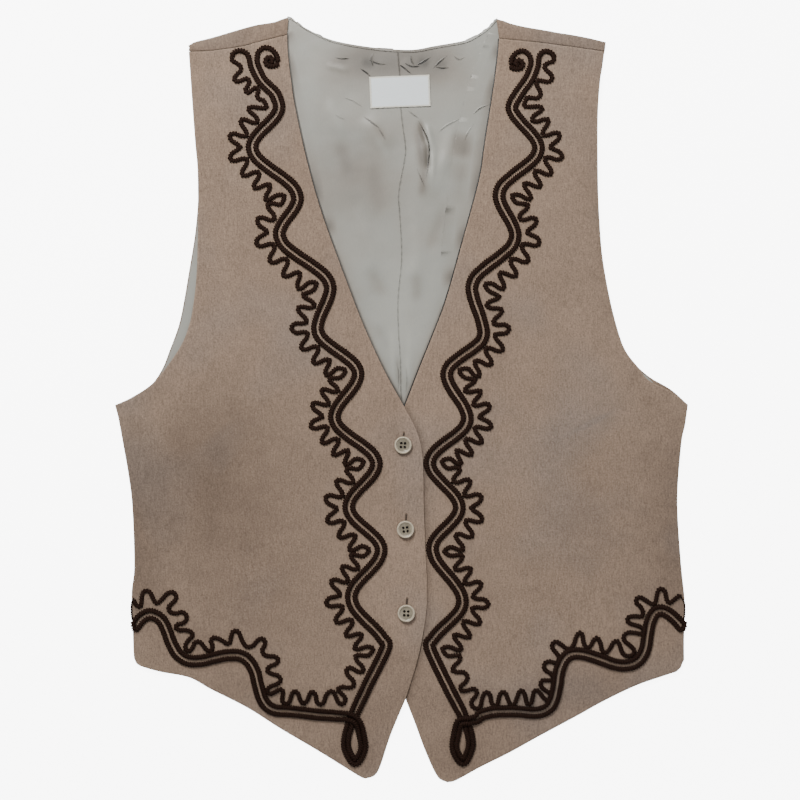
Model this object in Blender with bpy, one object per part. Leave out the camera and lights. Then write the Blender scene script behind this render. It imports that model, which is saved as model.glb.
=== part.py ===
"""A sleeveless waistcoat with three buttons and raised braid, fastened and laid flat on its back.

Metres, +Z up, +Y towards the shoulders, +X towards the wearer's left. The cloth lies on z = 0, and the
origin is under the middle of the garment. The tables below are in millimetres.

The layers, from the floor up: the back, its lining, the left front, the right front, the braid and buttons.
The back folds forward over each shoulder and ends there at the shoulder seam, where a front begins.
"""

import math

import bmesh
import bpy
from mathutils import Vector
from mathutils.bvhtree import BVHTree

MM = 0.001

# Walls and gaps
GAP = 0.3
BACK_WALL = 1.0
LINING_WALL = 1.0
FRONT_WALL = 1.2
LABEL_WALL = 1.0

# Heights of the layers
LINING_UNDER = BACK_WALL + GAP
LINING_TOP = LINING_UNDER + LINING_WALL
FRONT_UNDER = LINING_TOP + GAP
FRONT_TOP = FRONT_UNDER + FRONT_WALL
SIDE_UNDER = BACK_WALL + GAP
HEM_POINT_UNDER = 0.4
OVERLAP_LIFT = FRONT_WALL + 0.6
FOLD_RADIUS = FRONT_TOP / 2

# Where the right front is lifted by the left one below it: the edges of that area, and how fast it rises
OVERLAP_SIDE = -50
OVERLAP_SIDE_RISE = 30
OVERLAP_TOP = 48
OVERLAP_TOP_RISE = 44
OVERLAP_BOTTOM = -276
OVERLAP_BOTTOM_RISE = 30

# How the cloth swells between its edges: the full height, and how far in from each edge it is reached
SWELL = 3.2
SWELL_FROM_SIDE = 55
SWELL_FROM_HEM = 45
SWELL_FROM_SEAM = 50
SWELL_FROM_NECK = 35
SWELL_FROM_ARMHOLE = 35
NECK_SHARE = 0.3
ARMHOLE_SHARE = 0.5
SIDE_ROLL = 12
HEM_DROP = 30
HEM_DROP_START = 2
FOLD_END_SHARE = 0.16
FOLD_END_RISE = 2.5

# Cells of the cloth's grids
SHOULDER_COLUMNS = 6
NECK_COLUMNS = 12
FRONT_COLUMNS = 13
UPPER_ROWS = 12
UPPER_ROWS_CROWDING = 1.35
LOWER_ROWS = 9
FOLD_STEPS = 4
STRIP_ROWS = 2

# How far the lining stops short of the back's edges
LINING_SIDE_INSET = 15
LINING_HEM_INSET = 11
LINING_ARMHOLE_INSET = 1.0
LINING_NECK_INSET = 0.6
LINING_SHOULDER_INSET = 2.2
LINING_CORNER_CLEAR = 24
LINING_HEM_END = 2

# Braid: width and height of each cord, and the distance between the two cords of the pair
PAIR_WIDTH = 3.9
PAIR_HEIGHT = 2.1
PAIR_SPACING = 5.8
WAVY_WIDTH = 3.2
WAVY_HEIGHT = 1.8
PAIR_STEP = 8.0
CURL_STEP = 4.5
WAVE_STEPS = 6
WAVE_FULLNESS = 0.03
WAVE_CROWDING = 0.1
WAVE_SIDEWAYS = 5.4
WAVE_DEEP = 7.6
WAVE_CLEAR = 0.5
EASE_ROUNDS = 12
KNOT_LIFT = 0.1
KNOT_SIDES = 12
KNOT_PROFILE = (  # radius, height
    (0.0, 0.0),
    (4.6, 0.0),
    (4.6, 1.4),
    (2.6, 2.6),
    (0.0, 2.6),
)

# Buttons
BUTTON_RADIUS = 6.8
BUTTON_SIDES = 20
BUTTON_HOLE_RADIUS = 0.75
BUTTON_HOLE_SIDES = 8
BUTTON_HOLE_SPACING = 2.8
BUTTON_DRILL_DEPTH = 7
BUTTON_REST_SPOTS = 8
BUTTON_PLACES = {"top": (1.2, -34.9), "middle": (3.1, -100.4), "bottom": (3.7, -165.6)}
BUTTON_PROFILE = (  # radius, height: half of the turned outline, from the underside's middle to the top's
    (0.0, 0.0),
    (5.2, 0.0),
    (6.8, 1.0),
    (6.8, 2.1),
    (6.1, 2.8),
    (5.3, 2.6),
    (4.5, 1.8),
    (0.0, 1.7),
)

# Label: its middle, its size and its turn
LABEL_MIDDLE = (-1.2, 241.2)
LABEL_LENGTH = 47.0
LABEL_WIDTH = 24.5
LABEL_TURN = math.radians(2.3)
LABEL_COLUMNS = 4
LABEL_ROWS = 2

# Fineness and tolerances
CURVE_STEPS = 12
FINE_CELLS = 40
FINE_STEP = 0.5
EDGE_STEP = 14
WELD = 0.01
SHARP_ANGLE = math.radians(40)
ABOVE_ALL = 30

# Outlines: each row is a point (x, y), and a smooth curve joins them. Armholes, sides and fronts run
# downwards, seams run from the armhole to the neck, and hems run from the side to the hem's point.
RIGHT_FRONT = {
    "seam": ((-166.2, 272.4), (-152.5, 272.8), (-136.9, 274.6), (-122, 277), (-111.9, 279.9), (-89.3, 285.5)),
    "neck": ((-89.3, 285.5), (-88.9, 272.4), (-86.2, 249.1), (-83.1, 228.8), (-74, 187.4), (-62, 145.3),
             (-43.3, 93.8), (-29.6, 58.3), (-13.7, 23.6), (2, -4.8)),
    "front": ((2, -4.8), (12.5, -26), (16.6, -47), (17.4, -83), (18.7, -119), (19.8, -143), (19, -167),
              (12.9, -200), (2.7, -234.5)),
    "tail": ((2.7, -234.5), (-8.2, -261), (-16.5, -286), (-21.1, -293.4), (-28.1, -296)),
    "hem": ((-209, -202), (-205, -207), (-189.2, -211.9), (-165.8, -216.6), (-148.6, -226), (-120.5, -240.5),
            (-94.8, -256.8), (-65.1, -274.3), (-34.5, -293.2), (-28.1, -296)),
    "side": ((-224, -3.7), (-221.4, -13.8), (-218.2, -31), (-213.3, -59), (-210.4, -84), (-208.9, -129),
             (-211, -151), (-210.2, -174.5), (-209.6, -195), (-209, -202)),
    "armhole": ((-166.2, 272.4), (-161.3, 205), (-158.9, 172), (-159.5, 105), (-162.6, 73), (-166.8, 54.8),
                (-174, 39.2), (-192.3, 15.1), (-210.2, 2.6), (-224, -3.7)),
}
LEFT_FRONT = {
    "seam": ((158.7, 272.4), (140.8, 275.1), (117.4, 278.3), (93.2, 281), (76.2, 282.6)),
    "neck": ((76.2, 282.6), (75.3, 270), (72.2, 246), (65.5, 203), (60.8, 172.6), (48, 125), (34.7, 78.2),
             (23.5, 48.6), (14.7, 26.8), (2.4, -4.9)),
    "front": ((2.4, -4.9), (-6.5, -26), (-9.8, -47), (-11, -83), (-12.4, -119), (-13.7, -143), (-12.9, -167),
              (-6.6, -200), (3.5, -234.5)),
    "tail": ((3.5, -234.5), (10.5, -252.5), (18.6, -274.3), (27.7, -293.6), (35.8, -299)),
    "hem": ((221, -203), (216, -211), (207.9, -214.3), (183.7, -222.8), (158, -235.3), (138.5, -246.2),
            (108, -262.6), (83.9, -275.9), (62, -286.8), (43.3, -297), (35.8, -299)),
    "side": ((224, -3.3), (221.7, -19.3), (218.8, -34.1), (215.7, -77.8), (218.3, -124.6), (221.2, -154),
             (221.3, -172), (220.9, -188), (221, -203)),
    "armhole": ((158.7, 272.4), (156.4, 260.8), (153.3, 225), (153.3, 172), (154.8, 136), (157.2, 109),
                (163.1, 76.7), (170.4, 49.4), (175.9, 36.9), (184.5, 26), (193, 15.6), (209.4, 7.3),
                (224, -3.3)),
}
BACK = {
    "right_armhole": ((-166.8, 277.1), (-161.2, 205), (-159.1, 172), (-159.2, 156), (-161.5, 130),
                      (-166.5, 99.3), (-170.4, 76.3), (-174.3, 58.3), (-181.3, 39.2), (-187.6, 23.6),
                      (-197.3, 10.4), (-210.2, 2.6), (-224, -3.7)),
    "left_armhole": ((159.8, 280), (157, 260), (151.6, 225), (151.6, 172), (153, 136), (155.6, 109),
                     (162, 76.7), (169.2, 49.4), (174.8, 38), (184, 27), (195, 17.6), (210.5, 8.6),
                     (224, -3.3)),
    "right_shoulder": ((-166.8, 277.1), (-161.1, 280.3), (-148.6, 283.4), (-126, 290.1), (-113.1, 293.5),
                       (-100.2, 295.6), (-89, 299)),
    "left_shoulder": ((159.8, 280), (140.8, 284.2), (117.4, 288.3), (94.8, 292.3), (80, 296.2), (75, 298.2)),
    "neck": ((-89, 299), (-85, 297.4), (-73.7, 289.6), (-53.4, 280.3), (-23.8, 274.8), (6.6, 272.6),
             (26.1, 275.6), (48, 279.5), (57.3, 283.4), (67.5, 290.4), (75, 298.2)),
    "hem": ((-209, -202), (-150, -211), (-60, -219), (3, -221), (70, -219), (160, -211), (221, -203)),
}

# The pair of cords, at its middle line: it swings towards the front's edge and away from it. The left front's
# numbers are those that it would have as a right front, and mirrored() carries them over
PAIR_TURNS = {
    # x, y of each turn towards the edge, x, y of the next turn away from it, waves of the small cord between,
    # and how far above the turn its deepest wave lies
    "right": (
        (-95.4, 229.5, -116.4, 197.0, 7, 1.6),
        (-81.1, 158.5, -95.2, 129.0, 6, -3.0),
        (-55.7, 88.8, -65.4, 55.4, 6, -1.6),
        (-33.9, 21.2, -52.3, -13.4, 7, -0.8),
        (-19.7, -48.8, -41.1, -83.0, 6, -1.2),
        (-15.8, -116.2, -40.2, -153.8, 7, -1.4),
    ),
    "left": (
        (-94.7, 229.5, -113.9, 196.5, 7, 2.2),
        (-81.7, 160.3, -92.9, 128.0, 6, -4.2),
        (-57.5, 88.4, -65.0, 52.0, 6, -1.8),
        (-34.9, 20.8, -49.5, -14.2, 7, -0.8),
        (-18.7, -48.5, -40.3, -83.0, 6, -1.2),
        (-17.9, -115.4, -39.6, -156.0, 7, -2.6),
    ),
}
PAIR_TOP = {
    "right": ((-115.6, 266), (-113.9, 260), (-107.6, 250), (-99.6, 241)),
    "left": ((-114.2, 265), (-113.3, 260), (-108.6, 250), (-101.0, 240)),
}
PAIR_LAST_TURN = {"right": (-12.5, -192.8), "left": (-12.8, -193.2)}
PAIR_LAST_DEEP_RISE = -2.4
PAIR_BOTTOM = {"right": (-27.8, -223), "left": (-25.6, -223)}
PAIR_CROSSING = {"right": (-38.2, -246.5), "left": (-37.2, -248)}
DROP_ROUTE = {
    "right": ((-42.8, -262), (-42.6, -273), (-36.2, -282.4), (-30.2, -273), (-31.0, -262), (-34.8, -250)),
    "left": ((-40.6, -262), (-40.2, -272), (-34.2, -282.2), (-28.0, -273), (-29.2, -262), (-33.0, -251)),
}
DROP_TRIM_EDGE_CORD = 8.5
DROP_TRIM_INNER_CORD = 1.0
HEM_PAIR_START = {"right": (-46.0, -245.9), "left": (-45.4, -248.4)}
HEM_PAIR_ROUTE = ((-66, -244.4), (-91, -243.2), (-106.4, -239.0), (-112.3, -226.6), (-115.6, -209.9),
                  (-126, -199.2), (-145.5, -201.5), (-162.6, -204.5), (-175.4, -196.3), (-183.2, -181.5),
                  (-194.6, -167), (-208.2, -175.8))

# The curl at the top: the edge cord arches over the knot, and the inner cord turns back to the small one
ARCH_ROUTE = {
    "right": ((-96.4, 263.5), (-97.3, 268.6), (-101.6, 273.8), (-107.5, 275.0), (-112.0, 271.4)),
    "left": ((-95.6, 261.5), (-96.4, 266.6), (-100.6, 271.4), (-106.1, 272.4), (-110.4, 269.4)),
}
HOOK_ROUTE = {
    "right": ((-132.4, 267.2), (-131.0, 271.0), (-126.8, 272.8), (-122.2, 271.8), (-119.5, 268.8)),
    "left": ((-129.2, 266.8), (-128.4, 270.2), (-124.8, 272.2), (-120.4, 271.6), (-117.6, 268.4)),
}
KNOT_MIDDLE = {"right": (-103.2, 265.0), "left": (-102.0, 262.6)}

# The small wavy cord: how far its middle line lies from the pair's, and its waves along the hem
WAVY_SHIFT_NEAR_EDGE = -16.9
WAVY_SHIFT_AWAY = (-14.6, -0.8)
WAVY_SHIFT_UPPER_SLOPE = 12.8
WAVY_SHIFT_LOWER_SLOPE = 14.8
WAVY_TOP = {
    # its first turns, from under the hook to the first deep wave
    "right": ((-131.8, 264.8), (-129.2, 263.4), (-125.9, 261.0), (-125.3, 257.4), (-128.5, 253.9),
              (-130.4, 250.9), (-128.4, 248.5), (-124.4, 249.4), (-120.8, 250.7), (-118.7, 248.8),
              (-119.7, 245.3), (-121.7, 241.9), (-119.6, 239.6), (-116.3, 241.9), (-113.2, 243.8),
              (-111.5, 241.2), (-112.7, 237.6), (-111.0, 234.6), (-107.6, 233.8)),
    "left": ((-128.4, 264.4), (-124.6, 263.2), (-121.6, 260.6), (-123.0, 257.2), (-126.4, 254.2),
             (-127.0, 250.4), (-123.8, 248.2), (-119.6, 248.8), (-115.8, 249.4), (-113.6, 247.4),
             (-115.2, 244.4), (-117.0, 241.2), (-117.2, 237.6), (-114.2, 235.2), (-110.2, 235.6),
             (-106.8, 235.4)),
}
WAVY_BOTTOM = ((-33, -205), (-43, -222), (-47.5, -231.5))
WAVY_BOTTOM_WAVES = 3
HEM_WAVY_STRETCHES = (
    # waves, then the middle line's points up to the next deep wave
    (4, ((-47.5, -231.5), (-66, -231.8), (-84, -231.4), (-98.2, -226.2))),
    (6, ((-98.2, -226.2), (-100.5, -214), (-103.5, -199.5), (-113, -188.5), (-129, -184.6), (-146, -186.8),
         (-163.4, -188))),
    (5.5, ((-163.4, -188), (-170, -176.5), (-176, -162.5), (-187, -153), (-200, -153.8), (-207.6, -158))),
)

# The left front's braid mirrors the right one's across a line that leans a little
MIRROR_X = -4.4
MIRROR_Y = 230.3
MIRROR_LEAN = -0.0215
HEM_STRETCH = 0.016
HEM_STRETCH_FROM = 60
HEM_STRETCH_BELOW = -154

# Large soft folds, in the fronts and in the lining: where each starts and ends, its half-width and height
FRONT_FOLDS = (
    (180, 26, 204, -14, 11, -1.6),
    (196, 10, 214, -4, 8, 1.0),
    (-206, -10, -178, -26, 10, -1.0),
    (-196, -4, -176, -52, 12, 1.0),
    (-62, -222, -22, -214, 10, 0.8),
    (34, -212, 74, -226, 11, 0.8),
    (-150, -8, -84, 4, 14, 0.8),
    (92, -30, 158, -16, 14, 0.8),
)
LINING_FOLD_START = 0.5
LINING_FOLD_FADE = 22
LINING_FOLD_TOP = 268
LINING_FOLDS = (
    (17, 214, 22, 152, 8, 1.9),
    (-30, 222, -8, 196, 8, 1.2),
    (46, 212, 30, 176, 8, 1.3),
    (-36, 150, -20, 92, 8, 1.0),
    (14, 120, 8, 52, 8, 1.1),
)

COLOURS = {  # linear red, green, blue, then roughness
    "cloth": ((0.30, 0.23, 0.18), 0.85),
    "lining": ((0.35, 0.34, 0.31), 0.45),
    "braid": ((0.018, 0.009, 0.008), 0.75),
    "button": ((0.45, 0.39, 0.31), 0.35),
    "label": ((0.66, 0.66, 0.63), 0.7),
}


def clear_scene():
    for old in list(bpy.data.objects):
        bpy.data.objects.remove(old, do_unlink=True)


def make_materials():
    materials = {}
    for name, (colour, roughness) in COLOURS.items():
        material = bpy.data.materials.new(name)
        material.use_nodes = True
        shader = material.node_tree.nodes["Principled BSDF"]
        shader.inputs["Base Color"].default_value = (*colour, 1)
        shader.inputs["Roughness"].default_value = roughness
        materials[name] = material
    return materials


# Curves

def smooth_curve(points, per_span=CURVE_STEPS):
    """A smooth curve through the points (Catmull-Rom), as many closely spaced points."""
    points = [Vector(point) for point in points]
    ends = [2 * points[0] - points[1], 2 * points[-1] - points[-2]]
    padded = [ends[0], *points, ends[1]]
    curve = []
    for before, start, end, after in zip(padded, padded[1:], padded[2:], padded[3:]):
        for step in range(per_span):
            t = step / per_span
            curve.append(0.5 * (2 * start + (end - before) * t
                                + (2 * before - 5 * start + 4 * end - after) * t ** 2
                                + (3 * start - before - 3 * end + after) * t ** 3))
    curve.append(points[-1])
    return curve


def curve_length(curve):
    return sum((end - start).length for start, end in zip(curve, curve[1:]))


def evenly(curve, cells):
    """The curve's points at equal steps along it, one more than there are cells."""
    total = curve_length(curve)
    spots = []
    walked = 0.0
    for start, end in zip(curve, curve[1:]):
        span = (end - start).length
        while len(spots) < cells and walked + span >= total * len(spots) / cells:
            share = (total * len(spots) / cells - walked) / max(span, 1e-9)
            spots.append(start.lerp(end, share))
        walked += span
    spots.append(curve[-1])
    return spots


def crowded(curve, cells, power):
    """Points along the curve, as many as evenly gives, closer together towards its end."""
    fine = evenly(curve, FINE_CELLS * cells)
    return [fine[round(FINE_CELLS * cells * (1 - (1 - index / cells) ** power))] for index in range(cells + 1)]


def upper_row_points(curve):
    return crowded(curve, UPPER_ROWS, UPPER_ROWS_CROWDING)


def by_step(curve, step):
    return evenly(curve, max(2, round(curve_length(curve) / step)))


def trimmed(curve, length):
    """The curve without the last length of it."""
    curve = list(curve)
    while (curve[-1] - curve[-2]).length < length:
        length -= (curve[-1] - curve[-2]).length
        curve.pop()
    curve[-1] = curve[-1] + (curve[-2] - curve[-1]).normalized() * length
    return curve


def across(curve, index):
    """The unit vector to the left of the way along the curve, at one of its points."""
    ahead = curve[min(index + 1, len(curve) - 1)]
    behind = curve[max(index - 1, 0)]
    along = (ahead - behind).normalized()
    return Vector((-along.y, along.x))


def beside(curve, distance):
    """The curve moved sideways, to its left where distance is positive."""
    return [point + distance * across(curve, index) for index, point in enumerate(curve)]


def soft(value):
    """0 below 0, 1 above 1, and a smooth rise between."""
    value = min(max(value, 0.0), 1.0)
    return value * value * (3 - 2 * value)


def way_from(point, curve):
    """The vector to a point from the nearest spot of a curve."""
    ways = []
    for start, end in zip(curve, curve[1:]):
        span = end - start
        share = min(max((point - start).dot(span) / span.length_squared, 0.0), 1.0)
        ways.append(point - start - share * span)
    return min(ways, key=lambda way: way.length_squared)


def nearest(point, curves):
    """The distance from a point to the nearest of some curves."""
    return min(way_from(point, curve).length for curve in curves)


# The lie of the cloth

FRONTS = (RIGHT_FRONT, LEFT_FRONT)


def edge_lines(*names):
    return [by_step(smooth_curve(front[name]), EDGE_STEP) for name in names for front in FRONTS]


SIDE_LINES = edge_lines("side")
HEM_LINES = edge_lines("hem", "tail")
SEAM_LINES = edge_lines("seam")
NECK_LINES = edge_lines("neck")
ARMHOLE_LINES = edge_lines("armhole")
BACK_HEM_LINE = by_step(smooth_curve(BACK["hem"]), EDGE_STEP)


def fold_height(point, folds):
    """The height that the soft folds add at a point: each is a ridge or a trough that fades at its ends."""
    height = 0.0
    for x0, y0, x1, y1, half_width, depth in folds:
        start = Vector((x0, y0))
        span = Vector((x1, y1)) - start
        share = (point - start).dot(span) / span.length_squared
        aside = (point - start - share * span).length / half_width
        fade = soft(FOLD_END_SHARE + FOLD_END_RISE * min(share, 1 - share))
        height += depth * fade * math.exp(-aside * aside)
    return height


def back_hem_at(x):
    for start, end in zip(BACK_HEM_LINE, BACK_HEM_LINE[1:]):
        if start.x <= x <= end.x:
            return start.y + (end.y - start.y) * (x - start.x) / (end.x - start.x)
    return BACK_HEM_LINE[0].y if x < 0 else BACK_HEM_LINE[-1].y


def swell_at(point):
    from_side = soft(nearest(point, SIDE_LINES) / SWELL_FROM_SIDE)
    from_hem = soft(nearest(point, HEM_LINES) / SWELL_FROM_HEM)
    from_seam = soft(nearest(point, SEAM_LINES) / SWELL_FROM_SEAM)
    from_neck = NECK_SHARE + (1 - NECK_SHARE) * soft(nearest(point, NECK_LINES) / SWELL_FROM_NECK)
    from_armhole = soft(nearest(point, ARMHOLE_LINES) / SWELL_FROM_ARMHOLE)
    from_armhole = ARMHOLE_SHARE + (1 - ARMHOLE_SHARE) * from_armhole
    inside = from_side * from_hem * from_seam
    swell = SWELL * inside * from_neck * from_armhole
    folds = fold_height(point, FRONT_FOLDS) * min(1.0, 2 * inside)
    return max(swell + folds, 0.0)


def overlap_at(point):
    """1 where the right front lies on the left one, and 0 well away from there."""
    from_side = soft((point.x - OVERLAP_SIDE) / OVERLAP_SIDE_RISE)
    from_top = soft((OVERLAP_TOP - point.y) / OVERLAP_TOP_RISE)
    from_bottom = soft((point.y - OVERLAP_BOTTOM) / OVERLAP_BOTTOM_RISE)
    return from_side * from_top * from_bottom


def front_under(point, on_top):
    """The underside of a front at a point."""
    from_side = soft(nearest(point, SIDE_LINES) / SIDE_ROLL)
    level = SIDE_UNDER + (FRONT_UNDER - SIDE_UNDER) * from_side
    past_hem = soft((back_hem_at(point.x) - HEM_DROP_START - point.y) / HEM_DROP)
    level += (HEM_POINT_UNDER - level) * past_hem
    if on_top:
        level += OVERLAP_LIFT * overlap_at(point)
    return level + swell_at(point)


def lining_wall(point):
    """The lining's wall, thicker at the soft folds that show in the neck."""
    inside = soft(nearest(point, NECK_LINES) / LINING_FOLD_FADE - LINING_FOLD_START)
    in_neck = soft((LINING_FOLD_TOP - point.y) / LINING_FOLD_FADE)
    return LINING_WALL + max(fold_height(point, LINING_FOLDS), 0.0) * inside * in_neck


# Meshes

def grid_mesh(columns, rows, place):
    """A sheet of cells, with each corner where place(column, row) puts it, in millimetres."""
    sheet = bmesh.new()
    bmesh.ops.create_grid(sheet, x_segments=columns, y_segments=rows, size=1)
    for corner in sheet.verts:
        column = round((corner.co.x + 1) / 2 * columns)
        row = round((1 - corner.co.y) / 2 * rows)
        corner.co = Vector(place(column, row)) * MM
    return sheet


def patch(top, bottom, left, right):
    """Points of a sheet between four edges (a Coons patch), as a list of rows."""
    columns = len(top) - 1
    rows = len(left) - 1
    points = []
    for row in range(rows + 1):
        down = row / rows
        line = []
        for column in range(columns + 1):
            over = column / columns
            ruled = (1 - over) * left[row] + over * right[row] + (1 - down) * top[column] + down * bottom[column]
            corners = ((1 - over) * (1 - down) * top[0] + over * (1 - down) * top[-1]
                       + (1 - over) * down * bottom[0] + over * down * bottom[-1])
            line.append(ruled - corners)
        points.append(line)
    return points


def new_object(name, sheet, material, smooth=True):
    mesh = bpy.data.meshes.new(name)
    sheet.to_mesh(mesh)
    sheet.free()
    mesh.materials.append(material)
    if smooth:
        mesh.shade_smooth()
        mesh.set_sharp_from_angle(angle=SHARP_ANGLE)
    piece = bpy.data.objects.new(name, mesh)
    bpy.context.scene.collection.objects.link(piece)
    return piece


def cloth_sheet(points, under, wall):
    """A closed wall of cloth on a grid of points: its underside is at under(point), its wall is wall(point)."""
    rows = len(points) - 1
    columns = len(points[0]) - 1

    def place(column, row):
        point = points[row][column]
        return (point.x, point.y, under(point))

    sheet = grid_mesh(columns, rows, place)
    raised = bmesh.ops.extrude_face_region(sheet, geom=sheet.faces[:])
    for part in raised["geom"]:
        if isinstance(part, bmesh.types.BMVert):
            point = Vector((part.co.x, part.co.y)) / MM
            part.co.z += wall(point) * MM
    bmesh.ops.recalc_face_normals(sheet, faces=sheet.faces[:])
    return sheet


class Surface:
    """The top of a piece, as what lies on it finds it."""

    def __init__(self, sheet):
        self.tree = BVHTree.FromBMesh(sheet)

    def top(self, x, y):
        above = Vector((x, y, ABOVE_ALL)) * MM
        hit = self.tree.ray_cast(above, Vector((0, 0, -1)))[0]
        if hit is None:
            hit = self.tree.find_nearest(above)[0]
        return hit.z / MM


def make_back(material):
    """The back, with the strips that fold forward over the shoulders, as one wall of cloth."""
    right_fold = evenly(smooth_curve(BACK["right_shoulder"]), SHOULDER_COLUMNS)
    left_fold = evenly(smooth_curve(BACK["left_shoulder"]), SHOULDER_COLUMNS)[::-1]
    right_inner = beside(right_fold, -FOLD_RADIUS)
    left_inner = beside(left_fold, -FOLD_RADIUS)
    neck = smooth_curve((right_inner[-1], *BACK["neck"][1:-1], left_inner[0]))
    top = right_inner + evenly(neck, NECK_COLUMNS)[1:-1] + left_inner
    columns = len(top) - 1
    bottom = evenly(smooth_curve(BACK["hem"]), columns)
    right_arm = smooth_curve((right_inner[0], *BACK["right_armhole"][1:]))
    left_arm = smooth_curve((left_inner[-1], *BACK["left_armhole"][1:]))
    left = upper_row_points(right_arm) + evenly(smooth_curve(RIGHT_FRONT["side"]), LOWER_ROWS)[1:]
    right = upper_row_points(left_arm) + evenly(smooth_curve(LEFT_FRONT["side"]), LOWER_ROWS)[1:]
    points = patch(top, bottom, left, right)
    sheet = grid_mesh(columns, len(left) - 1, lambda column, row: (*points[row][column], 0))
    for fold, seam in ((right_fold, RIGHT_FRONT["seam"]), (left_fold, LEFT_FRONT["seam"][::-1])):
        fold_over(sheet, fold, evenly(smooth_curve(seam), SHOULDER_COLUMNS))
    bmesh.ops.reverse_faces(sheet, faces=sheet.faces[:])
    back = new_object("back", sheet, material)
    wall = back.modifiers.new("Wall", "SOLIDIFY")
    wall.thickness = BACK_WALL * MM
    wall.offset = -1
    wall.use_even_offset = True
    return back


def fold_over(sheet, fold, seam):
    """Carries the sheet's shoulder edge up, round the fold line and forward to the seam."""
    inward = [-across(fold, index) for index in range(len(fold))]
    start = [line + FOLD_RADIUS * way for line, way in zip(fold, inward)]
    path = []
    for step in range(1, FOLD_STEPS + 1):
        angle = math.pi * step / FOLD_STEPS
        out = FOLD_RADIUS * math.sin(angle)
        height = FOLD_RADIUS * (1 - math.cos(angle))
        path.append([(*(point - out * way), height) for point, way in zip(start, inward)])
    stop = [point + 0.5 * GAP * across(seam, index) for index, point in enumerate(seam)]
    for step in range(1, STRIP_ROWS + 1):
        share = step / STRIP_ROWS
        path.append([(*point.lerp(end, share), FRONT_TOP) for point, end in zip(start, stop)])
    sheet.verts.ensure_lookup_table()
    edge = [min(sheet.verts, key=lambda v: (v.co - Vector((*point, 0)) * MM).length) for point in start]
    for row in path:
        edge = extrude_row(sheet, edge, row)


def extrude_row(sheet, edge, places):
    """Extrudes a row of vertices' edges and puts the new row at the places, in millimetres."""
    lines = [sheet.edges.get((start, end)) for start, end in zip(edge, edge[1:])]
    made = bmesh.ops.extrude_edge_only(sheet, edges=lines)["geom"]
    new_verts = {part for part in made if isinstance(part, bmesh.types.BMVert)}
    row = []
    for old, place in zip(edge, places):
        new = next(e.other_vert(old) for e in old.link_edges if e.other_vert(old) in new_verts)
        new.co = Vector(place) * MM
        row.append(new)
    return row


def make_lining(material):
    """The back's lining: the back's outline, a little smaller all round."""
    right_shoulder = evenly(smooth_curve(BACK["right_shoulder"]), SHOULDER_COLUMNS)
    left_shoulder = evenly(smooth_curve(BACK["left_shoulder"]), SHOULDER_COLUMNS)[::-1]
    neck = evenly(smooth_curve(BACK["neck"]), NECK_COLUMNS)
    right_top = beside(right_shoulder, -LINING_SHOULDER_INSET)
    left_top = beside(left_shoulder, -LINING_SHOULDER_INSET)
    neck_top = beside(neck, -LINING_NECK_INSET)
    top = right_top + neck_top[1:-1] + left_top
    right_arm = evenly(smooth_curve(BACK["right_armhole"]), 4 * UPPER_ROWS)
    left_arm = evenly(smooth_curve(BACK["left_armhole"]), 4 * UPPER_ROWS)
    right_side = evenly(smooth_curve(RIGHT_FRONT["side"]), LOWER_ROWS)
    left_side = evenly(smooth_curve(LEFT_FRONT["side"]), LOWER_ROWS)
    left = inset_edge(right_arm, right_side, 1)
    right = inset_edge(left_arm, left_side, -1)
    left[0] = top[0] + Vector((LINING_ARMHOLE_INSET, 0))
    right[0] = top[-1] - Vector((LINING_ARMHOLE_INSET, 0))
    top[0] = left[0]
    top[-1] = right[0]
    hem = smooth_curve(BACK["hem"])
    hem = [point + Vector((0, LINING_HEM_INSET)) for point in hem]
    inside = [point for point in hem
              if left[-1].x + LINING_HEM_END < point.x < right[-1].x - LINING_HEM_END]
    left[-1].y = inside[0].y
    right[-1].y = inside[-1].y
    bottom = evenly([left[-1], *inside, right[-1]], len(top) - 1)
    sheet = cloth_sheet(patch(top, bottom, left, right), lambda point: LINING_UNDER, lining_wall)
    surface = Surface(sheet)
    new_object("back_lining", sheet, material)
    return surface


def inset_edge(armhole, side, way):
    """The lining's edge: just inside the armhole, and further inside the side, where the front rolls down."""
    upper = beside(armhole, way * LINING_ARMHOLE_INSET)
    lower = beside(side, way * LINING_SIDE_INSET)
    corner = lower[0]
    upper = [point for point in upper if (point - corner).length > LINING_CORNER_CLEAR
             and way * (point.x - corner.x) > 0]
    return upper_row_points([*upper, corner]) + evenly(lower, LOWER_ROWS)[1:]


def front_edges(front):
    """The four edges of a front: seam, hem, outer edge and inner edge, as rows of points."""
    seam = evenly(smooth_curve(front["seam"]), FRONT_COLUMNS)
    seam = [point - 0.5 * GAP * seam_up(seam, index) for index, point in enumerate(seam)]
    hem = evenly(smooth_curve(front["hem"]), FRONT_COLUMNS)
    outer = smooth_curve((seam[0], *front["armhole"][1:]))
    inner = smooth_curve((seam[-1], *front["neck"][1:]))
    opening = smooth_curve(front["front"]) + smooth_curve(front["tail"])[1:]
    outer = upper_row_points(outer) + evenly(smooth_curve(front["side"]), LOWER_ROWS)[1:]
    inner = upper_row_points(inner) + evenly(opening, LOWER_ROWS)[1:]
    return seam, hem, outer, inner


def seam_up(seam, index):
    """The unit vector across the shoulder seam, up towards the shoulder."""
    side = across(seam, index)
    return side if side.y > 0 else -side


def make_front(name, front, on_top, material):
    seam, hem, outer, inner = front_edges(front)
    points = patch(seam, hem, outer, inner)
    sheet = cloth_sheet(points, lambda point: front_under(point, on_top), lambda point: FRONT_WALL)
    surface = Surface(sheet)
    new_object(name, sheet, material)
    return surface


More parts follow.
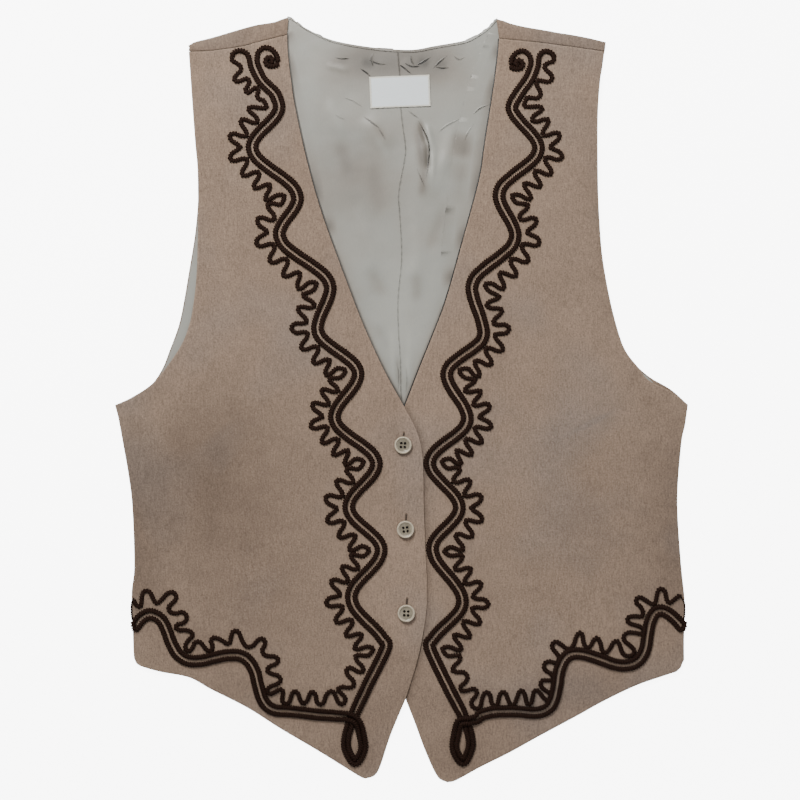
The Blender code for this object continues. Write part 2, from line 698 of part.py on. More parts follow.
def make_label(material, lining):
    middle = Vector(LABEL_MIDDLE)
    along = Vector((math.cos(LABEL_TURN), math.sin(LABEL_TURN)))
    up = Vector((-along.y, along.x))
    points = []
    for row in range(LABEL_ROWS + 1):
        down = (0.5 - row / LABEL_ROWS) * LABEL_WIDTH
        points.append([middle + (column / LABEL_COLUMNS - 0.5) * LABEL_LENGTH * along + down * up
                       for column in range(LABEL_COLUMNS + 1)])
    rest = max(lining.top(point.x, point.y) for row in points for point in row) + GAP
    sheet = cloth_sheet(points, lambda point: rest, lambda point: LABEL_WALL)
    new_object("label", sheet, material, smooth=False)


# Braid

def mirrored(point):
    """The same place on the left front."""
    middle = MIRROR_X + MIRROR_LEAN * (point[1] - MIRROR_Y)
    x = 2 * middle - point[0]
    if point[1] < HEM_STRETCH_BELOW:
        x += HEM_STRETCH * max(0.0, x - HEM_STRETCH_FROM)
    return Vector((x, point[1]))


def pair_turns(side):
    """The pair's turns, in order down the front."""
    turns = []
    for near_x, near_y, away_x, away_y, waves, rise in PAIR_TURNS[side]:
        turns.append(Vector((near_x, near_y)))
        turns.append(Vector((away_x, away_y)))
    turns.append(Vector(PAIR_LAST_TURN[side]))
    return turns


def pair_curve(side):
    """The pair's middle line down the front, through the crossing and round the drop below it."""
    bottom = (PAIR_BOTTOM[side], PAIR_CROSSING[side], *DROP_ROUTE[side])
    return smooth_curve([*PAIR_TOP[side], *pair_turns(side), *bottom])


def wavy_stretches(side):
    """The small cord's middle line, as stretches between its deep waves: waves, crowding, then curve points."""
    turns = pair_turns(side)
    near = turns[0::2]
    away = turns[1::2]
    rises = [row[-1] for row in PAIR_TURNS[side]] + [PAIR_LAST_DEEP_RISE]
    deeps = [turn + Vector((WAVY_SHIFT_NEAR_EDGE, rise)) for turn, rise in zip(near, rises)]
    stretches = []
    for index, turn in enumerate(away):
        upper = beside_slope(near[index], turn, WAVY_SHIFT_UPPER_SLOPE)
        lower = beside_slope(turn, near[index + 1], WAVY_SHIFT_LOWER_SLOPE)
        far = turn + Vector(WAVY_SHIFT_AWAY)
        points = [deeps[index], upper, far, lower, deeps[index + 1]]
        stretches.append((PAIR_TURNS[side][index][4], WAVE_CROWDING, points))
    stretches.append((WAVY_BOTTOM_WAVES, 0, [deeps[-1], *WAVY_BOTTOM]))
    stretches.extend((waves, 0, points) for waves, points in HEM_WAVY_STRETCHES)
    return stretches


def beside_slope(start, end, distance):
    """A point beside the middle of a slope between two turns, on the armhole side."""
    along = (end - start).normalized()
    return (start + end) / 2 + distance * Vector((along.y, -along.x))


def wavy_curve(side):
    """The small cord: its first turns, then waves across its middle line, deeper where two stretches meet."""
    stretches = wavy_stretches(side)
    knots = [stretches[0][2][0]]
    deep_waves = [0]
    for waves, crowding, points in stretches:
        knots.extend(points[1:])
        deep_waves.append(deep_waves[-1] + waves)
    middle = smooth_curve(knots, CURVE_STEPS)
    marks = []
    start = 0
    for waves, crowding, points in stretches:
        end = start + (len(points) - 1) * CURVE_STEPS
        marks.append((waves, crowding, curve_length(middle[start:end + 1])))
        start = end
    fine = by_step(middle, FINE_STEP)
    total = curve_length(middle)
    route = [Vector(point) for point in WAVY_TOP[side]]
    for step in range(round(WAVE_STEPS * deep_waves[-1]) + 1):
        phase = step / WAVE_STEPS
        fuller = phase + WAVE_FULLNESS * math.sin(4 * math.pi * phase)
        place = along_at(fuller, marks) / total * (len(fine) - 1)
        index = min(int(place), len(fine) - 2)
        point = fine[index].lerp(fine[index + 1], place - index)
        edge_side = across(fine, index)
        swing = math.cos(2 * math.pi * phase)
        deepness = max(0.0, 1 - 2 * min(abs(phase - wave) for wave in deep_waves[:-1]))
        reach = WAVE_SIDEWAYS + (WAVE_DEEP - WAVE_SIDEWAYS) * deepness
        route.append(point + swing * reach * edge_side)
    return route


def kept_apart(route, neighbours):
    """The small cord's points, eased away from its own other turns and from the cords beside it."""
    route = list(route)
    own = WAVY_WIDTH + WAVE_CLEAR
    beside_pair = (WAVY_WIDTH + PAIR_WIDTH) / 2 + WAVE_CLEAR
    for _ in range(EASE_ROUNDS):
        for index in range(1, len(route)):
            for far in range(index + 4, min(index + 2 * WAVE_STEPS, len(route))):
                apart = route[far] - route[index]
                push = max(0.0, own - apart.length) / 2 * apart.normalized()
                route[index] = route[index] - push
                route[far] = route[far] + push
            for curve in neighbours:
                way = way_from(route[index], curve)
                route[index] = route[index] + max(0.0, beside_pair - way.length) * way.normalized()
    return route


def along_at(phase, marks):
    """The distance along the middle line at which a number of waves is reached."""
    walked = 0.0
    for waves, crowding, length in marks:
        if phase <= waves:
            share = phase / waves
            return walked + length * (share - crowding * math.sin(2 * math.pi * share) / (2 * math.pi))
        phase -= waves
        walked += length
    return walked


def make_cord(name, route, width, height, surface, material):
    """A cord of three-sided section on a panel, with its underside on the panel's points, moved out."""
    def place(column, row):
        point = route[row]
        side = across(route, row) * width / 2
        spots = (point + side, point - side, point)
        spot = spots[column % 3]
        lift = height if column % 3 == 2 else 0.0
        return (spot.x, spot.y, surface.top(spot.x, spot.y) + GAP + lift)

    sheet = grid_mesh(3, len(route) - 1, place)
    bmesh.ops.remove_doubles(sheet, verts=sheet.verts[:], dist=WELD * MM)
    bmesh.ops.holes_fill(sheet, edges=sheet.edges[:], sides=3)
    bmesh.ops.recalc_face_normals(sheet, faces=sheet.faces[:])
    new_object(name, sheet, material)


def turned(profile, sides):
    """A closed body turned about +Z from half of its outline, given as rows of radius and height."""
    body = bmesh.new()
    outline = [body.verts.new((radius * MM, 0, height * MM)) for radius, height in profile]
    lines = [body.edges.new(pair) for pair in zip(outline, outline[1:])]
    bmesh.ops.spin(body, geom=outline + lines, axis=(0, 0, 1), cent=(0, 0, 0),
                   steps=sides, angle=2 * math.pi, use_merge=True)
    bmesh.ops.remove_doubles(body, verts=body.verts[:], dist=WELD * MM)
    bmesh.ops.recalc_face_normals(body, faces=body.faces[:])
    return body


def make_knot(name, middle, surface, material):
    """The knot inside the curl, a low dome."""
    rest = surface.top(middle.x, middle.y) + GAP + KNOT_LIFT
    dome = turned(KNOT_PROFILE, KNOT_SIDES)
    bmesh.ops.translate(dome, verts=dome.verts[:], vec=Vector((middle.x, middle.y, rest)) * MM)
    new_object(name, dome, material)


def make_braid(side, surface, material):
    """All cords of one front."""
    def put(points):
        return [mirrored(point) if side == "left" else Vector(point) for point in points]

    pair = pair_curve(side)
    hem_pair = smooth_curve((HEM_PAIR_START[side], *HEM_PAIR_ROUTE))
    half = PAIR_SPACING / 2
    edge_cord = trimmed(beside(pair, half), DROP_TRIM_EDGE_CORD)
    inner_cord = trimmed(beside(pair, -half), DROP_TRIM_INNER_CORD)
    edge_cord = by_step(smooth_curve(ARCH_ROUTE[side]), CURL_STEP)[:-1] + by_step(edge_cord, PAIR_STEP)
    inner_cord = by_step(smooth_curve(HOOK_ROUTE[side]), CURL_STEP)[:-1] + by_step(inner_cord, PAIR_STEP)
    routes = {
        "edge_cord": edge_cord,
        "inner_cord": inner_cord,
        "hem_edge_cord": by_step(beside(hem_pair, half), PAIR_STEP),
        "hem_inner_cord": by_step(beside(hem_pair, -half), PAIR_STEP),
    }
    for name, route in routes.items():
        make_cord(f"braid_{side}_{name}", put(route), PAIR_WIDTH, PAIR_HEIGHT, surface, material)
    wavy = kept_apart(wavy_curve(side), [routes["inner_cord"], routes["hem_inner_cord"]])
    make_cord(f"braid_{side}_wavy_cord", put(wavy), WAVY_WIDTH, WAVY_HEIGHT, surface, material)
    make_knot(f"braid_{side}_knot", put([KNOT_MIDDLE[side]])[0], surface, material)


# Buttons

def button_mesh(material):
    """One button: a turned disc with a raised rim and four holes through it."""
    disc = turned(BUTTON_PROFILE, BUTTON_SIDES)
    body = new_object("button_body", disc, material, smooth=False)
    drills = bmesh.new()
    for x in (-0.5, 0.5):
        for y in (-0.5, 0.5):
            drill = bmesh.ops.create_cone(drills, cap_ends=True, segments=BUTTON_HOLE_SIDES,
                                          radius1=BUTTON_HOLE_RADIUS * MM, radius2=BUTTON_HOLE_RADIUS * MM,
                                          depth=BUTTON_DRILL_DEPTH * MM)
            place = Vector((x * BUTTON_HOLE_SPACING, y * BUTTON_HOLE_SPACING, 0)) * MM
            bmesh.ops.translate(drills, verts=drill["verts"], vec=place)
    cutter = new_object("button_drills", drills, material, smooth=False)
    holes = body.modifiers.new("Holes", "BOOLEAN")
    holes.operation = "DIFFERENCE"
    holes.object = cutter
    graph = bpy.context.evaluated_depsgraph_get()
    cut = bpy.data.meshes.new_from_object(body.evaluated_get(graph))
    cut.name = "button"
    cut.shade_smooth()
    cut.set_sharp_from_angle(angle=SHARP_ANGLE)
    for spare in (body, cutter):
        bpy.data.objects.remove(spare, do_unlink=True)
    return cut


def make_buttons(material, surface):
    mesh = button_mesh(material)
    for name, (x, y) in BUTTON_PLACES.items():
        turns = [2 * math.pi * step / BUTTON_REST_SPOTS for step in range(BUTTON_REST_SPOTS)]
        ring = [(x + BUTTON_RADIUS * math.cos(turn), y + BUTTON_RADIUS * math.sin(turn)) for turn in turns]
        rest = max(surface.top(*spot) for spot in [*ring, (x, y)]) + GAP
        button = bpy.data.objects.new(f"button_{name}", mesh)
        button.location = Vector((x, y, rest)) * MM
        bpy.context.scene.collection.objects.link(button)


def main():
    clear_scene()
    materials = make_materials()
    make_back(materials["cloth"])
    lining = make_lining(materials["lining"])
    make_label(materials["label"], lining)
    left = make_front("front_left", LEFT_FRONT, False, materials["cloth"])
    right = make_front("front_right", RIGHT_FRONT, True, materials["cloth"])
    make_braid("right", right, materials["braid"])
    make_braid("left", left, materials["braid"])
    make_buttons(materials["button"], right)


main()
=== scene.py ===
"""A sleeveless waistcoat with raised braid, fastened and laid flat: its cloth, cords, buttons and stage.

The frame is in metres, with +Z up, +Y towards the shoulders and +X towards the wearer's left. The tables
and the sizes in this file's capitals are in millimetres, and MM turns them into metres.
"""

import math

import bmesh
import bpy
import numpy as np
from bpy.props import FloatProperty, FloatVectorProperty, IntProperty, PointerProperty
from mathutils import Matrix, Vector, noise
from mathutils.bvhtree import BVHTree


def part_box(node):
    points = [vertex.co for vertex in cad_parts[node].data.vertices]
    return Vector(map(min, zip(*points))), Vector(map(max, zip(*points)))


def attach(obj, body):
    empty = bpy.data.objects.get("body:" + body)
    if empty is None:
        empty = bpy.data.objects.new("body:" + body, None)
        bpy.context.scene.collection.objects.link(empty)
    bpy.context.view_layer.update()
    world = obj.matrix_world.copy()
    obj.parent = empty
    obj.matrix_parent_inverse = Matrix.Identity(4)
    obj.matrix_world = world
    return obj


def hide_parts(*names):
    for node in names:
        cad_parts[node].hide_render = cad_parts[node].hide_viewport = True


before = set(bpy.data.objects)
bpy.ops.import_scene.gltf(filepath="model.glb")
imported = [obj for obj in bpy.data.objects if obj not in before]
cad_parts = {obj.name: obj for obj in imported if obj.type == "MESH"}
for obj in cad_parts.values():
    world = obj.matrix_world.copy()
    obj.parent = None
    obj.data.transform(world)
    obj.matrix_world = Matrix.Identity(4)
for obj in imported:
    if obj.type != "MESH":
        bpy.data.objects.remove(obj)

bl_info = {
    "name": "Braided waistcoat",
    "version": (1, 0, 0),
    "blender": (4, 5, 0),
    "location": "3D View > Sidebar > Waistcoat",
    "description": "Makes the cloth, braid, buttons and stage of a waistcoat that lies flat",
    "category": "Object",
}

MM = 0.001

# Heights of the layers
GAP = 0.3
BACK_WALL = 1.0
LINING_WALL = 0.7
FRONT_WALL = 1.2
LINING_TOP = 2.3
FRONT_UNDER = 2.6
FRONT_TOP = 3.8
SIDE_UNDER = 1.3
HEM_POINT_UNDER = 0.4
OVERLAP_LIFT = 1.8
FOLD_RADIUS = 1.9

# Where the right front is lifted by the left one below it
OVERLAP_SIDE = -50
OVERLAP_SIDE_RISE = 30
OVERLAP_TOP = 48
OVERLAP_TOP_RISE = 44
OVERLAP_BOTTOM = -276
OVERLAP_BOTTOM_RISE = 30

# How the fronts swell between their edges
SWELL = 3.2
SWELL_FROM_SIDE = 55
SWELL_FROM_HEM = 45
SWELL_FROM_SEAM = 50
SWELL_FROM_NECK = 35
SWELL_FROM_ARMHOLE = 35
NECK_SHARE = 0.3
ARMHOLE_SHARE = 0.5
SIDE_ROLL = 12
HEM_DROP = 30
HEM_DROP_START = 2
FOLD_END_SHARE = 0.16
FOLD_END_RISE = 2.5

# Cells of the fine grids
FRONT_COLUMNS = 96
FRONT_UPPER_ROWS = 104
FRONT_LOWER_ROWS = 92
BACK_SHOULDER_COLUMNS = 24
BACK_NECK_COLUMNS = 40
BACK_UPPER_ROWS = 62
BACK_LOWER_ROWS = 40
FOLD_STEPS = 8
STRIP_ROWS = 7
LINING_SHOULDER_COLUMNS = 16
LINING_NECK_COLUMNS = 124
LINING_UPPER_ROWS = 190
LINING_LOWER_ROWS = 32
LINING_HEM_MIDDLE = (-46, 46)
LINING_ROW_CROWDING = 0.5
EDGE_CROWDING = 0.66

LINING_SIDE_INSET = 15
LINING_HEM_INSET = 11
LINING_ARMHOLE_INSET = 1.0
LINING_NECK_INSET = 0.6
LINING_SHOULDER_INSET = 2.2
LINING_CORNER_CLEAR = 24
LINING_HEM_CLEAR = 2

CURVE_STEPS = 24
ROUTE_STEPS = 12
FINE_STEP = 0.5
EDGE_STEP = 10
WELD = 0.01
ABOVE_ALL = 40
NECK_STEPS = 4

# How the walls' edges are rounded, and from which angle on
BACK_ROUNDING = 0.3
LINING_ROUNDING = 0.15
FRONT_ROUNDING = 0.35
LABEL_ROUNDING = 0.1
ROUNDED_FROM = math.radians(60)

# The strip of the back that comes forward over each shoulder
STRIP_CROWDING = 1.6
STRIP_PUFF = 0.35
STRIP_PUFF_FULL = 1.05
STRIP_SEAM_DROP = 0.35

# Outlines: each row is a point (x, y), and a smooth curve joins them
RIGHT_FRONT = {
    "seam": ((-166.2, 272.4), (-152.5, 272.8), (-136.9, 274.6), (-122, 277), (-111.9, 279.9), (-89.3, 285.5)),
    "neck": ((-89.3, 285.5), (-88.9, 272.4), (-86.2, 249.1), (-83.1, 228.8), (-74, 187.4), (-62, 145.3),
             (-43.3, 93.8), (-29.6, 58.3), (-13.7, 23.6), (2, -4.8)),
    "front": ((2, -4.8), (12.5, -26), (16.6, -47), (17.4, -83), (18.7, -119), (19.8, -143), (19, -167),
              (12.9, -200), (2.7, -234.5)),
    "tail": ((2.7, -234.5), (-8.2, -261), (-16.5, -286), (-21.1, -293.4), (-28.1, -296)),
    "hem": ((-209, -202), (-205, -207), (-189.2, -211.9), (-165.8, -216.6), (-148.6, -226), (-120.5, -240.5),
            (-94.8, -256.8), (-65.1, -274.3), (-34.5, -293.2), (-28.1, -296)),
    "side": ((-224, -3.7), (-221.4, -13.8), (-218.2, -31), (-213.3, -59), (-210.4, -84), (-208.9, -129),
             (-211, -151), (-210.2, -174.5), (-209.6, -195), (-209, -202)),
    "armhole": ((-166.2, 272.4), (-161.3, 205), (-158.9, 172), (-159.5, 105), (-162.6, 73), (-166.8, 54.8),
                (-174, 39.2), (-192.3, 15.1), (-210.2, 2.6), (-224, -3.7)),
}
LEFT_FRONT = {
    "seam": ((158.7, 272.4), (140.8, 275.1), (117.4, 278.3), (93.2, 281), (76.2, 282.6)),
    "neck": ((76.2, 282.6), (75.3, 270), (72.2, 246), (65.5, 203), (60.8, 172.6), (48, 125), (34.7, 78.2),
             (23.5, 48.6), (14.7, 26.8), (2.4, -4.9)),
    "front": ((2.4, -4.9), (-6.5, -26), (-9.8, -47), (-11, -83), (-12.4, -119), (-13.7, -143), (-12.9, -167),
              (-6.6, -200), (3.5, -234.5)),
    "tail": ((3.5, -234.5), (10.5, -252.5), (18.6, -274.3), (27.7, -293.6), (35.8, -299)),
    "hem": ((221, -203), (216, -211), (207.9, -214.3), (183.7, -222.8), (158, -235.3), (138.5, -246.2),
            (108, -262.6), (83.9, -275.9), (62, -286.8), (43.3, -297), (35.8, -299)),
    "side": ((224, -3.3), (221.7, -19.3), (218.8, -34.1), (215.7, -77.8), (218.3, -124.6), (221.2, -154),
             (221.3, -172), (220.9, -188), (221, -203)),
    "armhole": ((158.7, 272.4), (156.4, 260.8), (153.3, 225), (153.3, 172), (154.8, 136), (157.2, 109),
                (163.1, 76.7), (170.4, 49.4), (175.9, 36.9), (184.5, 26), (193, 15.6), (209.4, 7.3),
                (224, -3.3)),
}
BACK = {
    "right_armhole": ((-166.8, 277.1), (-161.2, 205), (-159.1, 172), (-159.2, 156), (-161.5, 130),
                      (-166.5, 99.3), (-170.4, 76.3), (-174.3, 58.3), (-181.3, 39.2), (-187.6, 23.6),
                      (-197.3, 10.4), (-210.2, 2.6), (-224, -3.7)),
    "left_armhole": ((159.8, 280), (157, 260), (151.6, 225), (151.6, 172), (153, 136), (155.6, 109),
                     (162, 76.7), (169.2, 49.4), (174.8, 38), (184, 27), (195, 17.6), (210.5, 8.6),
                     (224, -3.3)),
    "right_shoulder": ((-166.8, 277.1), (-161.1, 280.3), (-148.6, 283.4), (-126, 290.1), (-113.1, 293.5),
                       (-100.2, 295.6), (-89, 299)),
    "left_shoulder": ((159.8, 280), (140.8, 284.2), (117.4, 288.3), (94.8, 292.3), (80, 296.2), (75, 298.2)),
    "neck": ((-89, 299), (-85, 297.4), (-73.7, 289.6), (-53.4, 280.3), (-23.8, 274.8), (6.6, 272.6),
             (26.1, 275.6), (48, 279.5), (57.3, 283.4), (67.5, 290.4), (75, 298.2)),
    "hem": ((-209, -202), (-150, -211), (-60, -219), (3, -221), (70, -219), (160, -211), (221, -203)),
}
FRONTS = (RIGHT_FRONT, LEFT_FRONT)

# Soft folds and creases: start x, y, end x, y, half-width, height (a trough where it is below 0)
FRONT_FOLDS = (
    (180, 26, 204, -14, 11, -1.6),
    (196, 10, 214, -4, 8, 1.0),
    (-206, -10, -178, -26, 10, -1.0),
    (-196, -4, -176, -52, 12, 1.0),
    (-62, -222, -22, -214, 10, 0.8),
    (34, -212, 74, -226, 11, 0.8),
    (-150, -8, -84, 4, 14, 0.8),
    (92, -30, 158, -16, 14, 0.8),
)
FRONT_CREASES = (
    (179, 21, 200, -8, 5.5, -1.3),
    (190, 12, 206, -2, 4.5, 0.7),
    (200, -8, 213, -24, 7, -0.5),
    (-214, -14, -196, -30, 6, -0.6),
    (-204, -2, -186, -40, 7, 0.5),
    (-14, -196, 12, -206, 6, -0.5),
    (-30, -212, 6, -230, 5, 0.45),
    (-8, -236, -28, -252, 5, -0.4),
    (8, -182, 22, -214, 5, -0.4),
    (18, -205, 40, -238, 7, 0.5),
    (-62, -44, -28, -37, 5, 0.3),
    (26, -30, 70, -38, 6, -0.3),
    (-56, -96, -18, -102, 6, 0.3),
    (-150, -60, -96, -50, 9, 0.4),
    (84, -78, 150, -66, 10, 0.4),
    (-160, 60, -120, 96, 10, -0.4),
    (118, 60, 150, 104, 11, -0.4),
    (-190, -120, -120, -136, 12, 0.45),
    (110, -146, 186, -128, 13, 0.45),
    (-128, 150, -96, 120, 9, 0.35),
    (96, 170, 130, 140, 9, 0.35),
)
STRIP_CREASES = (
    (-122, 296, -116, 280, 2.2, -0.9),
    (-113, 296, -108, 282, 3.0, 0.5),
    (112, 294, 116, 280, 3.0, -0.4),
)
LINING_FOLDS = (
    (17, 214, 22, 152, 8, 1.9),
    (-30, 222, -8, 196, 8, 1.2),
    (46, 212, 30, 176, 8, 1.3),
    (-36, 150, -20, 92, 8, 1.0),
    (14, 120, 8, 52, 8, 1.1),
)
LINING_CREASES = (
    (13.6, 219, 20.6, 198, 2.0, -1.2),
    (19.8, 202, 20.8, 178, 2.0, -1.2),
    (19.4, 216, 25.4, 194, 2.2, 1.0),
    (25.0, 198, 24.4, 170, 2.0, 0.8),
    (-60.0, 262.0, -40.0, 257.5, 2.5, 0.5),
    (52.0, 214.0, 58.0, 200.0, 4.0, 0.4),
    (47.0, 215.0, 49.0, 186.0, 6.0, -0.4),
    (36.0, 196.0, 26.0, 160.0, 4.5, 0.5),
    (-58.0, 236.0, -44.0, 205.0, 5.0, 0.5),
    (-49.0, 204.0, -38.0, 168.0, 5.0, -0.4),
    (-22.0, 190.0, -16.0, 140.0, 6.0, -0.3),
    (36.0, 158.0, 20.0, 112.0, 5.0, -0.4),
    (8.0, 156.0, 14.0, 110.0, 5.0, 0.4),
    (-26.0, 104.0, -12.0, 78.0, 6.0, -0.5),
    (11.0, 102.0, 13.0, 74.0, 5.0, -0.4),
    (-20.0, 60.0, -8.0, 36.0, 4.0, -0.3),
    (4.0, 34.0, 6.0, 12.0, 2.5, 0.5),
    (-4.0, 36.0, -1.0, 10.0, 2.4, -0.5),
)

# Sharp creases of the lining: each line runs through its points, and comes with how dark its painted shadow
# is
LINING_SHARP_CREASES = (
    (((-32.4, 259.3), (-28.1, 256.7), (-24.0, 253.0)), 0.9),
    (((-51.9, 267.7), (-46.3, 267.1), (-40.4, 266.9)), 0.8),
    (((-25.5, 266.0), (-17.5, 263.0), (-11.9, 262.6)), 0.6),
    (((-22.0, 271.5), (-23.5, 267.0), (-22.2, 261.0)), 0.35),
    (((-2.7, 263.0), (2.0, 259.9), (7.9, 254.8)), 0.9),
    (((2.5, 263.6), (7.6, 261.2), (14.2, 260.8)), 1.0),
    (((7.2, 269.7), (7.9, 265.4), (9.8, 261.8)), 0.5),
    (((11.6, 261.8), (16.8, 264.5), (22.8, 268.2)), 0.7),
    (((24.3, 259.0), (29.8, 264.5), (35.8, 269.3)), 0.6),
    (((26.1, 260.8), (31.7, 259.7), (37.6, 260.0)), 0.6),
    (((12.2, 219.9), (15.4, 214.7), (19.6, 206.9), (21.7, 199.5), (22.0, 192.1), (20.9, 183.7),
      (19.4, 173.5)), 1.0),
    (((12.2, 180.9), (15.4, 173.5), (18.3, 166.1)), 0.35),
    (((-29.6, 221.8), (-24.0, 217.7), (-16.6, 212.1)), 1.0),
    (((-18.4, 212.9), (-15.5, 208.8), (-12.5, 203.2)), 0.5),
    (((28.0, 208.8), (35.4, 214.7), (45.6, 219.9)), 0.5),
    (((5.3, 226.4), (9.4, 223.3), (13.5, 220.3)), 0.5),
    (((55.8, 223.3), (61.4, 228.3), (68.0, 230.9)), 0.8),
    (((-44.4, 236.3), (-37.9, 233.9), (-30.5, 229.2)), 0.25),
    (((-51.9, 223.6), (-48.2, 220.9), (-44.4, 219.6)), 0.3),
    (((41.0, 269.1), (44.7, 266.4), (49.3, 267.9)), 0.5),
    (((49.3, 203.2), (51.8, 208.8), (56.2, 215.8)), 0.2),
    (((-3.6, 30.0), (-2.0, 20.0), (-2.6, 8.0)), 0.4),
    (((3.6, 26.0), (4.4, 16.0), (3.4, 6.0)), 0.4),
)
# A painted shadow: the dark line on the lining beside each front's neck edge, half its width, and how dark it
# is
NECK_SHADOWS = ((LEFT_FRONT, 1.5, 1.15), (RIGHT_FRONT, 2.2, 0.35))
NECK_SHADOW_PROFILE = (
    (-1, -0.2, 0.0), (-0.55, 0.06, 0.6), (0.0, 0.08, 1.0), (0.55, 0.06, 0.6), (1, -0.2, 0.0),
)
NECK_LOWEST = -4
CREASE_STEP = 0.6
CREASE_HALF = 1.6
CREASE_TAPER = 0.6
CREASE_END = 0.3
# The crease's profile: its darkness is that of the painted shadow along the crease
CREASE_PROFILE = (  # share of the half-width, height, darkness
    (-1, -0.25, 0.0), (-0.6, 0.08, 0.0), (-0.3, 0.24, 0.0), (-0.14, 0.2, 0.7), (0.0, 0.0, 1.0),
    (0.2, 0.0, 1.0), (0.5, 0.05, 0.5), (1, -0.25, 0.0),
)
SEAM_STEP = 1.2
SEAM_PUCKER = 0.25
SEAM_PUCKER_TURN = 1.35
SEAM_PUCKER_DRIFT = 0.21
SEAM_PUCKER_UNEVEN = 2
# The seam's profile: share of the half-width, height, and darkness of the painted shadow in its groove
SEAM_PROFILE = (
    (-1, -0.25, 0.0), (-0.62, 0.14, 0.0), (-0.34, 0.2, 0.1), (-0.2, 0.1, 0.8), (0.0, -0.1, 1.0),
    (0.2, 0.12, 0.8), (0.34, 0.24, 0.1), (0.62, 0.16, 0.0), (1, -0.25, 0.0),
)

# Soft lighter and darker places: start x, y, end x, y, half-width, how much lighter (darker where below 0)
# Painted light and shade on the fronts, where the light falls more or less on them
FRONT_PAINTED_SHADING = (
    (198, 16, 214, 2, 12, -0.10),
    (186, 6, 204, -20, 9, -0.08),
    (-218, -8, -212, -190, 28, -0.25),
    (-158, 24, -146, -140, 38, -0.17),
    (-120, 250, -130, 60, 60, -0.05),
    (-130, 50, -125, -235, 75, -0.16),
    (-50, 180, -27, 60, 16, -0.09),
    (216, -8, 220, -190, 26, -0.22),
    (142, -10, 146, -170, 34, -0.09),
    (153, 250, 158, 60, 12, -0.13),
    (0, -80, 0, -210, 28, 0.12),
    (-118, 225, -112, 160, 13, 0.08),
    (-36, -262, -32, -292, 26, -0.10),
    (-9, -18, -2, -27, 3.2, -0.15),
    (0, -46, 3, -60, 2.4, -0.07),
    (42, -262, 40, -294, 26, -0.11),
)
FRONT_GREYS = (
    (-150, -20, -122, -50, 22, 0.8),
    (-200, -20, -196, -120, 20, 0.4),
    (146, -16, 148, -20, 18, 0.6),
)
# Painted shade over the back's cloth, which shows mostly as the strips over the shoulders
STRIP_PAINTED_SHADE = -0.13
# A painted highlight along each front's rounded edges, and how far in it reaches
EDGE_PAINTED_HIGHLIGHT = 0.15
EDGE_PAINTED_HIGHLIGHT_REACH = 0.9
# A painted shadow on the left front beside the edge of the right front, which lies over it
UNDERLAP_PAINTED_SHADOW = -0.36
UNDERLAP_PAINTED_SHADOW_REACH = 3.6
# Painted light and shade on the lining, in the same columns
LINING_PAINTED_SHADING = (
    (11.5, 217, 18.5, 174, 3.4, -0.46),
    (17.5, 180, 16, 158, 3.4, -0.30),
    (25.0, 206, 24.5, 170, 2.6, 0.14),
    (45.0, 211, 47.0, 188, 6.5, -0.30),
    (46.0, 190, 40.0, 150, 5.5, -0.16),
    (38.0, 150, 30.0, 116, 6, -0.10),
    (43.0, 188, 45.0, 170, 5, -0.10),
    (-64, 264, 56, 264, 16, -0.48),
    (-62, 262, -40, 267, 3.5, -0.16),
    (-32, 266, -20, 261, 4.0, -0.20),
    (-4, 262, 6, 268, 2.4, 0.14),
    (12, 266, 22, 261, 4.0, -0.22),
    (26, 263, 37, 261, 4.0, -0.20),
    (-70, 205, -40, 150, 22, -0.10),
    (-34, 225, -24, 130, 30, -0.18),
    (-24, 218, -12, 204, 2.6, -0.14),
    (-20, 206, -10, 190, 3.0, 0.10),
    (-70, 240, -50, 200, 16, -0.06),
    (-32, 92, -22, 80, 9, -0.06),
    (9, 100, 14, 78, 7, -0.06),
    (-9, 60, -5, 12, 2.4, 0.10),
    (6, 60, 5, 12, 2.4, 0.09),
    (0, 120, 0, 10, 30, 0.14),
)
# Painted shadow on the lining beside the fronts' neck edges: a dark line, and a wider soft shade
NECK_PAINTED_SHADOW = -0.50
NECK_PAINTED_SHADOW_REACH = 1.7
NECK_PAINTED_SHADE = -0.10
NECK_PAINTED_SHADE_REACH = 7.0
# Painted shade in the creases' troughs and painted light on their ridges (on the fronts, half of both)
TROUGH_PAINTED_SHADE = 0.36
CREASE_PAINTED_SHADING = 0.12
# How much warmer the satin turns where its painted shade is darker
PAINTED_SHADE_WARMING = -2.6
LINING_FOLD_START = 0.5
LINING_FOLD_FADE = 22
LINING_FOLD_TOP = 268
LINING_FLAT_REACH = 5
LINING_DEEPEST = -0.9
LINING_SEAM = (
    (-2.7, 271.5), (-2.0, 262.0), (-1.2, 252.0), (-0.4, 227.5), (1.5, 210.8), (3.2, 196.8), (2.2, 186.6),
    (-0.6, 171.8), (-2.3, 159.4), (-1.6, 148.4), (-0.4, 130.5), (0.1, 109.4), (-2.7, 78.2), (-2.3, 54.0),
    (-0.8, 30.6), (-0.4, 8.0), (1.0, -14.0),
)

# Uneven cloth: wave lengths and heights of the gentle swells that no two spots share
CLOTH_UNEVEN = ((70, 0.5), (26, 0.22), (11, 0.07))
LINING_UNEVEN = ((46, 0.45), (17, 0.22), (8, 0.1))

